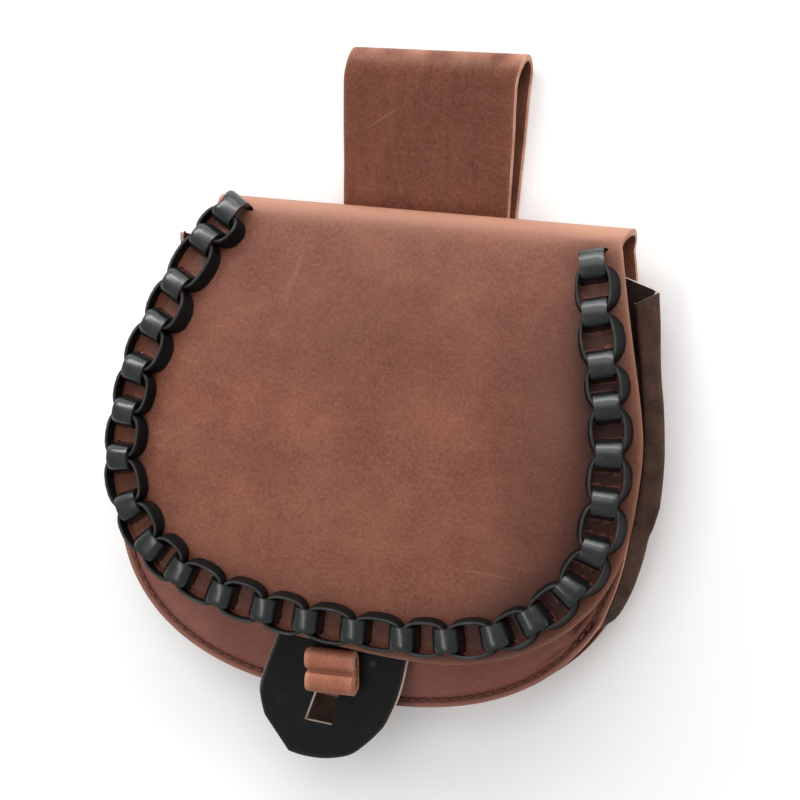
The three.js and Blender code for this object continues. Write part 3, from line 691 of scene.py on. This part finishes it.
# short creases pressed into the front: place, direction, half length, width and height
frontCreases = [(79, -49, 58, 7, 1.3, 1.52), (82, -46, 50, 6, 1.1, -1.33), (84, -39, 66, 7, 1.2, 1.52),
                (80, -42, 75, 6, 1.0, -1.14), (75, -54, 42, 8, 1.2, -1.14), (71, -56, 50, 7, 1.3, 1.14),
                (86, -33, 80, 6, 1.1, -0.95), (-72, -44, -52, 7, 1.4, -0.76), (-60, -57, -38, 8, 1.5, 0.76)]
seamStitch = {"pitch": 4.1, "length": 3.3, "width": 1.0, "height": 0.42, "slant": math.radians(7),
              "sink": 0.12, "ends": 3}
frontLine = edgeLine(bodyCut, *topEnds(bodyCut, front["mouthY"]))
frontPatch = panelPatch(frontLine)
frontEdgeDistance = nearness(frontLine, front["edgeSpacing"])


def insideBody(x, y):
    level = y - bodyCut["lean"] * x / bodyCut["halfWidth"]
    if level >= bodyCut["cornerY"]:
        return halfWidthAt(bodyCut, level) - abs(x)
    across = (abs(x) / bodyCut["halfWidth"]) ** bodyCut["roundness"]
    down = ((bodyCut["cornerY"] - level) / (bodyCut["cornerY"] - bodyCut["bottomY"])) ** bodyCut["roundness"]
    return bodyCut["halfWidth"] * (1 - (across + down) ** (1 / bodyCut["roundness"]))


def lipHeight(x, y):
    above = max(0.0, levelOf(x, y) - front["lipFallFromY"])
    return front["lipZ"] - front["lipFall"] * above ** 2


def frontHeight(x, y):
    rise = clamp((insideBody(x, y) - front["lipWidth"]) / front["domeReach"])
    return lerp(lipHeight(x, y), crownZ(levelOf(x, y)) - front["clear"], 1 - (1 - rise) ** 2)


def frontCrease(x, y):
    relief = 0.0
    for creaseX, creaseY, angle, half, width, height in frontCreases:
        way = Vector((math.cos(math.radians(angle)), math.sin(math.radians(angle))))
        away = Vector((x - creaseX, y - creaseY))
        relief += height * hill(away.dot(way), half) * hill(away.cross(way), width)
    return relief


def frontPlace(across, down):
    x, y = frontPatch(readRows(frontColumns, across), readRows(frontRows, down))
    edge = frontEdgeDistance(x, y)
    seam = edge - front["seamInset"]
    crease = frontCrease(x, y)
    z = frontHeight(x, y) + crease + bell(frontLook["groove"], seam)
    z += wave(frontLook["wave"], x, y) * ramp(frontLook["waveInside"], edge)
    z += wave(frontLook["pucker"], x, y) * bell(frontLook["puckerReach"], edge)
    # paler at the rim and on rubbed patches from wear, and evenly as painted light; darker in the seam groove and
    # creases as painted shade
    wearAndLight = frontLook["wearAndLight"] + bell(frontLook["rim"], edge) + max(0.0, wave(frontLook["rubbed"], x, y))
    grimeAndShade = bell(frontLook["seamShade"], seam) + frontLook["creaseShade"] * max(0.0, -crease)
    return toFrame((x, y, z)), wearAndLight, grimeAndShade


def seamSpot(at):
    x, y = besideLine(frontLine, at, -front["seamInset"])
    return toFrame((x, y, frontHeight(x, y) - seamStitch["sink"]))


frontShape = leatherSheet(front, frontPlace, toFrame((0, 0, 0)))
seamPlaces = []
for i in range(int((frontLine["length"] - 2 * seamStitch["ends"]) / seamStitch["pitch"])):
    at = seamStitch["ends"] + i * seamStitch["pitch"]
    seamPlaces.append((seamSpot(at), seamSpot(at + 1) - seamSpot(at)))
addStitches(frontShape, seamPlaces, seamStitch, 3)
frontPiece = addPiece("front_panel_hide", frontShape, [frontHide, brownEdge, brownFleshShaded, redThread],
                      "front_panel")
print("front panel made,", len(frontPiece.data.polygons), "faces")

# Gusset: a suede strip folded to a V between front and back

gusset = {"thick": 1.5, "gap": 0.35, "flange": 6, "frontTopY": 56.8, "creaseTopY": 59.4, "creaseTopLeftY": 57,
          "backTopY": 66.5, "foldHalf": 1.6, "rows": 170, "columns": 64, "bevel": 0.6, "insideZ": 9.5,
          "frontInset": 1.2, "backInset": 1, "shownFrom": -0.4, "shownTo": 0.5, "turnIn": 0.3,
          "waver": (0.5, 16, 9.0), "bulge": (15, -8, 18), "bulgeLow": (1, 60, 80)}
# the right wall's front fold at its fullest: a valley behind the lip, a shoulder past it, and the crease below
gussetPuff = {"valleyOut": 0.7, "valleyDepth": 6.5, "shoulderOut": 3.4, "shoulderUp": 0.5, "creaseBelow": 2.2,
              "creaseShare": 0.8}
# how full that fold is, by height on the pouch
puffRows = [(-12, 0), (5, 0.35), (28, 0.75), (45, 1), (64, 1)]
# how far the crease stands out, by height on the pouch, on its right and on its left
creaseOuts = [(-87, -2.2), (-50, -2), (-46, -1), (-44, -0.2), (-40, 1.7), (-30, 3.2), (-16, 3.9), (-12, 4.1),
              (-8.5, 5.4), (-1.5, 6.6), (8, 6.9), (22, 7.6), (48, 9.8), (70, 12.6)]
leftCreaseOuts = [(-87, -2.2), (-40, -0.5), (0, 1.5), (45, 2.5), (50.5, 3.2), (53, 5.3), (57, 8.6)]
gussetReaches = (1.2, 0.9, 1.0, 1.2, 1.2, 1.5)  # how far each corner of the strip is rounded
lipLine = edgeLine(bodyCut, *topEnds(bodyCut, gusset["frontTopY"]))
creaseLine = edgeLine(bodyCut, gusset["creaseTopLeftY"], topEnds(bodyCut, gusset["creaseTopY"])[1])
rearLine = edgeLine(bodyCut, *topEnds(bodyCut, gusset["backTopY"]))


# A cornered path with its corners rounded
def roundedPath(points, reaches, steps=5, most=0.45):
    path = [points[0]]
    for before, corner, after, reach in zip(points, points[1:], points[2:], reaches):
        start = corner + (before - corner).normalized() * min(reach, most * (before - corner).length)
        end = corner + (after - corner).normalized() * min(reach, most * (after - corner).length)
        for i in range(steps + 1):
            t = i / steps
            path.append(start.lerp(corner, t).lerp(corner.lerp(end, t), t))
    path.append(points[-1])
    return measured(path)


def gussetPath(share):
    lip, crease = atShare(lipLine, share)[0], atShare(creaseLine, share)[0]
    frontZ = lipHeight(lip.x, lip.y) - front["thick"] - gusset["gap"]
    backZ = flapSheet["thick"] + gusset["gap"]
    right = crease.x > 0
    out = readRows(creaseOuts, levelOf(lip.x, crease.y)) if right else readRows(leftCreaseOuts, crease.y)
    out += wave(gusset["waver"], crease.x, crease.y)
    # the strip bulges behind the tab
    out += bell(gusset["bulge"], crease.x) * ramp(gusset["bulgeLow"], -crease.y)
    puff = readRows(puffRows, lip.y) if right else 0.0
    shown = clamp(out, gusset["shownFrom"], gusset["shownTo"])
    creaseZ = lerp((frontZ + backZ) / 2, frontZ - gussetPuff["creaseBelow"], gussetPuff["creaseShare"] * puff)
    creaseOut = out + gusset["thick"] / 2
    stops = [(lipLine, -gusset["flange"], frontZ), (lipLine, -gusset["frontInset"], frontZ),
             (lipLine, shown - gusset["turnIn"] + gussetPuff["valleyOut"] * puff,
              frontZ - gussetPuff["valleyDepth"] * puff),
             (lipLine, shown + gussetPuff["shoulderOut"] * puff,
              frontZ - gusset["turnIn"] + gussetPuff["shoulderUp"] * puff),
             (creaseLine, creaseOut, creaseZ + gusset["foldHalf"]),
             (creaseLine, creaseOut, creaseZ - gusset["foldHalf"]),
             (rearLine, -gusset["backInset"], backZ), (rearLine, -gusset["flange"], backZ)]
    points = []
    for line, outwards, z in stops:
        flat = besideLine(line, share * line["length"], outwards)
        points.append(Vector((flat.x, flat.y, z)))
    return roundedPath(points, gussetReaches)


gussetPaths = [gussetPath(row / gusset["rows"]) for row in range(gusset["rows"] + 1)]


def gussetPlace(across, down):
    return toFrame(atShare(gussetPaths[round(down * gusset["rows"])], across)[0]), 0, 0


gussetShape = leatherSheet(gusset, gussetPlace, toFrame((0, 0, gusset["insideZ"])))
# the strip's inner side is painted near black, as shade
addPiece("gusset_suede", gussetShape, [suedeSplit, suedeEdge, suedeInsideShade], "gusset")
print("gusset made")

# Belt loop: a wide strap up behind the pouch, over and down again

loop = {"width": 62, "taper": 0.021, "turn": math.radians(5.2), "pivotY": 83, "topY": 136.9, "topThick": 14,
        "thick": 2.2, "rearEndY": -5, "rearShort": 8, "rows": 150, "columns": 44, "bevel": 0.35,
        "insideY": 113, "insideZ": 5, "shift": (-1.5, 0, 12), "askew": (0.026, 95, 136.9), "overTop": 0.6,
        "edgeWaver": (0.5, 21, 3.3), "edgeApart": 3, "wave": (0.35, 24, 7.7), "waveAbove": (1, 80, 100)}
loopLook = {"bend": (1, -1, 3), "bendWear": 0.7, "bendPatches": (0.9, 6, 6.6), "bendFrom": 0.5, "wearAndLight": 0.45,
            "rightWear": (0.4, 0.5, 1), "rim": (0.25, 0, 0.03), "grimeAndShade": 0.22, "grease": (0.12, 20, 2.0),
            "greaseAcross": 6, "greaseAlong": 0.6, "rearGrime": 0.1}
# front layer: level, height
loopFront = [(127, 12.75), (122, 12), (116, 10.9), (110, 9.7), (99, 7.9), (88, 6.3), (75, 4.6), (62, 3.65),
             (42, 3.65)]
loopTurn = Matrix.Rotation(loop["turn"], 3, "Z")


def loopPath():
    half = loop["thick"] / 2
    radius = (loop["topThick"] - loop["thick"]) / 2
    bendY = loop["topY"] - loop["topThick"] / 2
    rearTopY = bendY - loop["rearShort"]
    points = [Vector((lerp(loop["rearEndY"], rearTopY, i / 6), half)) for i in range(7)]
    for i in range(13):
        angle = (i / 12 - 0.5) * math.pi
        points.append(Vector((bendY + radius * math.cos(angle), half + radius * (1 + math.sin(angle)))))
    points += [Vector(row) for row in loopFront]
    return measured(smoothLine(points, 6))


loopLine = loopPath()


# The loop lies on the surface itself, turned a little
def loopSpot(x, y, z):
    turned = loopTurn @ Vector((x, y - loop["pivotY"], z))
    return Vector((turned.x - lie["middleX"], turned.y + loop["pivotY"] - lie["middleY"], turned.z)) * mm


def loopPlace(across, down):
    point, way = atShare(loopLine, down)
    level = point.x
    outer = point + Vector((way.y, -way.x)) * loop["thick"] / 2
    halfWidth = loop["width"] / 2 - loop["taper"] * (loop["topY"] - level)
    side = 2 * across - 1
    x = side * (halfWidth + wave(loop["edgeWaver"], side * loop["edgeApart"], level))
    if way.x < loop["overTop"]:
        x += ramp(loop["shift"], loop["topY"] - level) * ease(loop["overTop"] - way.x, 0, 1)
    y, z = outer.x + ramp(loop["askew"], level) * x, outer.y
    bend, grimeAndShade = 0.0, loopLook["rearGrime"]
    if way.x < loopLook["bendFrom"]:
        bend = loopLook["bendWear"] + wave(loopLook["bendPatches"], x, level)
        bend *= bell(loopLook["bend"], level - loop["topY"])
    if way.x < 0:
        z += wave(loop["wave"], x, level) * ramp(loop["waveAbove"], level)
        grease = wave(loopLook["grease"], x * loopLook["greaseAcross"], level * loopLook["greaseAlong"])
        grimeAndShade = loopLook["grimeAndShade"] + max(0.0, grease)
    wearAndLight = (loopLook["wearAndLight"] + ramp(loopLook["rightWear"], side)) * bend + bell(loopLook["rim"], 1 - abs(side))
    return loopSpot(x, y, z), wearAndLight, grimeAndShade * (1 - bend)


loopShape = leatherSheet(loop, loopPlace, loopSpot(0, loop["insideY"], loop["insideZ"]))
addPiece("belt_loop_hide", loopShape, [strapHide, brownEdge, brownFleshShaded], "belt_loop")
print("belt loop made")

# Rings: short black straps closed to barrel-sided links, standing on the flap

# A ring's rim is greyed by rubbing and by a painted highlight along its top
ringForm = {"gap": 0.3, "wall": 1.05, "top": 5.2, "foot": 0.1, "halfAcross": 7.0, "around": 64, "corner": 0.25,
            "flarePower": 1.3, "rim": (0.7, 0.92, 1.0), "rimRubAndHighlight": 0.4, "rubbed": (0.6, 4, 0)}
ringWidths = [(0, 7), (9, 6.8), (12, 6.2), (17, 6.2), (20, 6.1), (25, 6)]  # half width at the rim, by bridge
# spread of the foot by bridge, on the outer side and towards the middle of the flap
ringOuterFlares = [(0, 0.5), (9, 0.5), (13, 0.9), (16, 1.5), (18.5, 2.6), (25, 2.8)]
ringInnerFlares = [(0, 2.3), (3.4, 2.1), (4.2, 0.7), (5.5, 1.1), (6.5, 0.7), (7.5, 1.5), (10.5, 0.9),
                   (17, 0.8), (25, 1.1)]
# quarter of a ring from its end to its side: share of its half length, half width
ringQuarter = [(1, 0), (1, 2.8), (0.95, 4.3), (0.76, 5.75), (0.42, 6.75), (0, 7.0)]


def ringOutline():
    quarter = [Vector(row) for row in ringQuarter]
    half = quarter + [Vector((-p.x, p.y)) for p in reversed(quarter[:-1])]
    whole = half + [Vector((p.x, -p.y)) for p in reversed(half[1:-1])]
    return measured(smoothLine(whole + [whole[0]], 6))


# Section of a strap with rounded corners, from its outer lower corner
def strapSection(thick, height, corner, steps=3):
    points = []
    farX, farY = thick - corner, height - corner
    for x, y, start in ((corner, corner, 180), (farX, corner, 270), (farX, farY, 0), (corner, farY, 90)):
        for i in range(steps + 1):
            angle = math.radians(start + 90 * i / steps)
            points.append(Vector((x + corner * math.cos(angle), y + corner * math.sin(angle))))
    return measured(points + [points[0]])


ringLine = ringOutline()
ringHeight = ringForm["top"] - ringForm["foot"]
ringWall = strapSection(ringForm["wall"], ringHeight, ringForm["corner"])

for number in range(trim["ringCount"]):
    start, end = bridgePlaces[number], bridgePlaces[number + 1]
    middle, halfAlong = (start + end) / 2, (end - start - ringForm["gap"]) / 2
    width = readRows(ringWidths, number + 0.5) + chance.uniform(-0.35, 0.25)
    shift = chance.uniform(-0.25, 0.25)
    rise = chance.uniform(-0.15, 0.15)
    lean = chance.uniform(-0.06, 0.06)
    outerFlare = readRows(ringOuterFlares, number + 0.5) * chance.uniform(0.85, 1.15)
    innerFlare = readRows(ringInnerFlares, number + 0.5) * chance.uniform(0.85, 1.15)

    def ringPlace(across, down):
        edge, wall = atShare(ringLine, down)[0], atShare(ringWall, across)[0]
        up = wall.y / ringHeight
        side = edge.y / ringForm["halfAcross"]
        along = edge.x * (halfAlong - wall.x)
        reach = side * (width - wall.x)
        flare = (outerFlare if edge.y > 0 else -innerFlare) * (1 - up) ** ringForm["flarePower"] * side ** 2
        height = ringForm["foot"] + wall.y + rise * up + lean * edge.y * up
        # rubbing and a painted highlight along the rim
        rubbed = ringForm["rimRubAndHighlight"] + abs(wave(ringForm["rubbed"], along, reach, number))
        spot = trimPoint(middle + along, reach + flare + shift, height)
        return toFrame(spot), ramp(ringForm["rim"], up) * rubbed

    ringShape = wrappedTube(len(ringWall["points"]) - 1, ringForm["around"], ringPlace, True)
    ringName = "ring_%02d" % (number + 1)
    addPiece(ringName + "_leather", ringShape, [edgedBlack], ringName, bandSharp)
print("rings made")

# Lace: one flat black thong, over each pair of ring ends and down through the flap's slits

lace = {"halfWidth": 3.95, "thick": 1.5, "corner": 0.3, "tail": 9, "under": -3.55, "rowsPerBridge": 34,
        "sway": (0.3, 0.9, 4.0), "swayRow": 1.7, "crown": (0.06, 3, 5), "top": (1, 5.2, 5.9),
        "rubbed": (0.25, 3, 2.0)}
# half of a bridge: distance along the trim, height of the lace's middle
laceBridge = [(0, 6.2), (1.2, 6.1), (2.3, 5.76), (3.2, 5.1), (3.9, 4.1), (4.35, 2.8), (4.55, 1.4), (4.65, 0.2),
              (4.7, -0.8), (4.75, -1.8), (5.1, -3.0), (5.75, lace["under"])]


def lacePath():
    half = [Vector(row) for row in laceBridge]
    bridge = [Vector((-p.x, p.y)) for p in reversed(half[1:])] + half
    points = [Vector((-lace["tail"], lace["under"]))]
    for k, place in enumerate(bridgePlaces):
        points += [Vector((place + p.x * slitReach(k, p.x) / slitForm["along"], p.y)) for p in bridge]
    points.append(Vector((trimLine["length"] + lace["tail"], lace["under"])))
    return measured(smoothLine(points, 4))


laceLine = lacePath()
laceSection = strapSection(2 * lace["halfWidth"], lace["thick"], lace["corner"])


def lacePlace(across, down):
    point, way = atShare(laceLine, down)
    section = atShare(laceSection, across)[0]
    at = point + Vector((-way.y, way.x)) * (section.y - lace["thick"] / 2)
    nearest = min(range(len(bridgePlaces)), key=lambda k: abs(bridgePlaces[k] - point.x))
    reach = section.x - lace["halfWidth"] + wave(lace["sway"], nearest, lace["swayRow"])
    crown = ramp(lace["crown"], point.y) * (1 - (reach / lace["halfWidth"]) ** 2)
    wearAndLight = ramp(lace["top"], point.y) * abs(wave(lace["rubbed"], point.x, reach))
    return toFrame(trimPoint(at.x, reach, at.y + crown)), wearAndLight


laceShape = wrappedTube(len(laceSection["points"]) - 1, lace["rowsPerBridge"] * len(bridgePlaces), lacePlace)
addPiece("lace_thong", laceShape, [waxedBlack], "lace", bandSharp)
print("lace made")

# Closure tab: matt black leather with a hand-cut round end and a slot

tab = {"thick": 2.4, "underFlap": 4.75, "droopFromY": -66, "droop": 0.0006, "turn": math.radians(-6.5),
       "turnY": -62, "columns": 60, "rows": 80, "bevel": 0.4, "edgeSpacing": 0.4, "insideY": -80,
       "wave": (0.25, 15, 1.1), "cutZ": 40, "cutDepth": 20}
tabLook = {"leftX": -12, "leftY": -91, "leftEdge": (0.8, 0, 0.6), "edge": (0.15, 0, 0.7),
           "rubbed": (0.03, 7, 3.0), "scuff": (0.3, 0, 0.8), "scuffX": 14.1, "scuffY": -70, "burnishedX": -8,
           "burnishedY": -100}
# the edge as cut with a knife: down the left, two straight cuts, then round to the right
tabLeft = [(-18.5, -42), (-20.2, -66), (-20.8, -71.4), (-22.1, -80.1), (-23, -88.8), (-21.9, -93.7),
           (-19.6, -99.1)]
tabCuts = [(-19.2, -99.7), (-14, -104.6), (-9, -109.4)]
tabRound = [(-8.4, -109.9), (-3.1, -109.8), (3.1, -108.6), (9.1, -106.2), (14.2, -102.9), (18.4, -97.6),
            (21.6, -92.5), (23.7, -88.2), (25.6, -80), (26.3, -73.2), (26.3, -66.2), (25.3, -42)]
# level of the slot, its left and right side, and how far askew it is cut there
tabSlot = [(-94.9, -4.9, 5.0, 0.13), (-84.4, -3.2, 5.4, 0), (-70, -3.1, 5.4, 0)]


def tabEdge():
    points = []
    for run in (tabLeft, tabCuts, tabRound):
        points += smoothLine([Vector(row) for row in run], 12)
    return measured(points)


tabLine = tabEdge()
tabPatch = panelPatch(tabLine)
tabEdgeDistance = nearness(tabLine, tab["edgeSpacing"])


def tabTurned(x, y):
    dy = y - tab["turnY"]
    return (x * math.cos(tab["turn"]) - dy * math.sin(tab["turn"]),
            tab["turnY"] + x * math.sin(tab["turn"]) + dy * math.cos(tab["turn"]))


def tabHeight(y):
    return crownZ(y) - tab["underFlap"] - tab["droop"] * max(0.0, tab["droopFromY"] - y) ** 2


def tabPlace(across, down):
    flat = tabPatch(across, down)
    x, y = tabTurned(flat.x, flat.y)
    onLeft = flat.x < tabLook["leftX"] and flat.y > tabLook["leftY"]
    wearAndLight = bell(tabLook["leftEdge" if onLeft else "edge"], tabEdgeDistance(flat.x, flat.y))
    wearAndLight += max(0.0, wave(tabLook["rubbed"], x, y))
    wearAndLight += bell(tabLook["scuff"], math.hypot(x - tabLook["scuffX"], y - tabLook["scuffY"]))
    return toFrame((x, y, tabHeight(y) + wave(tab["wave"], x, y))), wearAndLight, 0


tabShape = leatherSheet(tab, tabPlace, toFrame((0, tab["insideY"], 0)))
for face in tabShape.faces:
    spot = face.calc_center_median() / mm
    if face.material_index == 1 and spot.x < tabLook["burnishedX"] and spot.y < tabLook["burnishedY"]:
        face.material_index = 0  # burnished black at its lower left
tabPiece = addPiece("closure_tab_leather", tabShape, [mattBlack, blackEdgeLit, mattBlack],
                    "closure_tab")
slotShape = bmesh.new()
bmesh.ops.create_grid(slotShape, x_segments=1, y_segments=2, size=0.5)
for vert in slotShape.verts:
    level, left, right, askew = tabSlot[round(2 * vert.co.y + 1)]
    x = left if vert.co.x < 0 else right
    vert.co = toFrame((*tabTurned(x, level + askew * x), tab["cutZ"]))
bmesh.ops.solidify(slotShape, geom=slotShape.faces[:], thickness=tab["cutDepth"] * mm)
# the slot's walls take the pale cut edge, painted light
cutAway(tabPiece, slotShape, 1)
print("closure tab made")

# Toggle: a tan strip rolled up from both ends, with its stem through the slot

toggle = {"x": 1.3, "y": -74.2, "turn": math.radians(6.6), "width": 17.9, "thick": 2, "rollRadius": 2.9,
          "rollSpacing": 7.85, "boxy": 0.78, "flat": 0.9, "curl": math.radians(300), "tighten": 0.18,
          "tightenFrom": 0.6, "gap": 0.35, "corner": 0.3, "rollSteps": 24, "rows": 90, "end": (0.6, 0, 0.7),
          "endFacing": 0.8, "bevel": 0.5}
# the stem through the slot, and the strip's middle tucked between its rolls
stemForm = {"x": -2.2, "width": 6, "thick": 4, "into": 0.6, "footY": 2}
tuckForm = {"z": 5.2, "shorter": 0.5, "thick": 2.6, "height": 4}
toggleSlope = math.atan(tabHeight(toggle["y"] + 0.5) - tabHeight(toggle["y"] - 0.5))
toggleZ = tabHeight(toggle["y"]) + toggle["gap"] / math.cos(toggleSlope)
toggleTurn = Matrix.Rotation(toggleSlope, 3, "X") @ Matrix.Rotation(toggle["turn"], 3, "Z")


# Sine or cosine of a roll that is pressed a little square
def squared(value):
    return math.copysign(abs(value) ** toggle["boxy"], value)


def togglePath():
    points = []
    steps = toggle["rollSteps"]
    for side in (-1, 1):
        for i in range(steps + 1):
            share = 1 - i / steps if side < 0 else i / steps
            turned = toggle["curl"] * share
            tightened = toggle["tighten"] * max(0.0, share - toggle["tightenFrom"])
            radius = toggle["rollRadius"] * (1 - tightened)
            out, up = squared(math.sin(turned)), squared(-math.cos(turned))
            points.append(Vector((side * (toggle["rollSpacing"] / 2 + radius * out), toggle["thick"] / 2
                                  + toggle["flat"] * (toggle["rollRadius"] + radius * up))))
    return measured(points)


toggleLine = togglePath()
toggleSection = strapSection(toggle["width"], toggle["thick"], toggle["corner"])


def toggleSpot(x, y, z):
    turned = toggleTurn @ Vector((x, y, z))
    return toFrame((toggle["x"] + turned.x, toggle["y"] + turned.y, toggleZ + turned.z))


def togglePlace(across, down):
    point, way = atShare(toggleLine, down)
    section = atShare(toggleSection, across)[0]
    at = point + Vector((-way.y, way.x)) * (section.y - toggle["thick"] / 2)
    x = section.x - toggle["width"] / 2
    return toggleSpot(x, at.x, at.y), bell(toggle["end"], abs(x) - toggle["width"] / 2)


toggleShape = wrappedTube(len(toggleSection["points"]) - 1, toggle["rows"], togglePlace)
toggleShape.verts.layers.float.new("grimeAndShade")
toggleShape.normal_update()
toggleAxis = lieTurn @ toggleTurn @ Vector((1, 0, 0))
for face in toggleShape.faces:
    face.material_index = 1 if abs(face.normal.dot(toggleAxis)) > toggle["endFacing"] else 0
stemFootZ = frontHeight(toggle["x"] + stemForm["x"], toggle["y"] + stemForm["footY"])
stemLength = toggleZ - stemFootZ - 2 * toggle["gap"]
stem = bmesh.ops.create_cube(toggleShape, size=1)["verts"]
for vert in stem:
    vert.co = toggleSpot(stemForm["x"] + vert.co.x * stemForm["width"], vert.co.y * stemForm["thick"],
                         (vert.co.z - 0.5) * stemLength + stemForm["into"])
tuck = bmesh.ops.create_cube(toggleShape, size=1)["verts"]
for vert in tuck:
    vert.co = toggleSpot(vert.co.x * (toggle["width"] - tuckForm["shorter"]), vert.co.y * tuckForm["thick"],
                         (vert.co.z - 0.5) * tuckForm["height"] + tuckForm["z"])
stemEdges = list({edge for vert in stem + tuck for edge in vert.link_edges})
bmesh.ops.bevel(toggleShape, geom=stemEdges, offset=toggle["bevel"] * mm, offset_type="OFFSET",
                affect="EDGES", segments=2, profile=0.5, material=-1)
addPiece("toggle_hide", toggleShape, [tanHide, tanEdge], "toggle", bandSharp)
print("toggle made")

# Floor, light and camera

floorForm = {"half": 3, "below": -0.0004}
floorShape = bmesh.new()
bmesh.ops.create_grid(floorShape, x_segments=1, y_segments=1, size=floorForm["half"])
floorData = meshFrom(floorShape, "floor")
# White light table: even and matt, lit a little from below so that shadows stay pale
paper, paperTree, paperShader, _, paperTones = newMaterial("white light table", {"white": "#F7F6F5"})
setInputs(paperTree, paperShader, {"Base Color": paperTones["white"], "Roughness": 0.9, "IOR": 1.45,
                                   "Emission Color": (1, 1, 1, 1), "Emission Strength": 0.2})
floorData.materials.append(paper)
floor = addObject("floor", floorData)
floor.location.z = floorForm["below"]

# lamp: power, place, width and depth of its soft box
skyStrength = 0.34
studio = {"soft": (15, (0, 1.3, 1.9), 2.6, 1.6), "key": (12, (0.05, 1.35, 0.95), 1.7, 0.4),
          "left": (10, (-1.15, 1.0, 0.75), 0.9, 0.4), "strip": (4, (0, 1.45, 0.42), 1.5, 0.18),
          "fill": (5, (-0.55, -0.5, 1.65), 1.3, 0.22)}
bpy.context.scene.view_settings.view_transform = "Standard"  # colours as a product picture has them
world = bpy.data.worlds.new("studio")
world.use_nodes = True
setInputs(world.node_tree, world.node_tree.nodes["Background"], {"Color": (1, 1, 1, 1), "Strength": skyStrength})
bpy.context.scene.world = world
for name, (power, spot, wide, deep) in studio.items():
    lamp = bpy.data.lights.new(name, "AREA")
    lamp.shape = "RECTANGLE"
    lamp.energy, lamp.size, lamp.size_y = power, wide, deep
    light = addObject(name, lamp)
    light.location = spot
    light.rotation_euler = (-light.location).to_track_quat("-Z", "Y").to_euler()

# The camera stands at the photograph's angle to the flap
shot = {"lens": 150, "sensor": 36, "clipEnd": 20, "yaw": -17.5025, "pitch": 6.3562, "roll": -9.4393,
        "aim": (-1.867, -13.89, 22), "shiftX": -7.992, "shiftY": -14.943, "distance": 1134.18}
cameraData = bpy.data.cameras.new("camera")
cameraData.lens = shot["lens"]
cameraData.sensor_width = shot["sensor"]
cameraData.clip_end = shot["clipEnd"]
camera = addObject("camera", cameraData)
cameraTurn = Matrix.Identity(3)
for turn, axis in (("yaw", "Y"), ("pitch", "X"), ("roll", "Z")):
    cameraTurn = cameraTurn @ Matrix.Rotation(-math.radians(shot[turn]), 3, axis)
cameraSpot = Vector(shot["aim"]) + cameraTurn @ Vector((-shot["shiftX"], -shot["shiftY"], shot["distance"]))
camera.matrix_world = Matrix.Translation(cameraSpot * mm) @ cameraTurn.to_4x4()
bpy.context.scene.camera = camera
print("studio set")
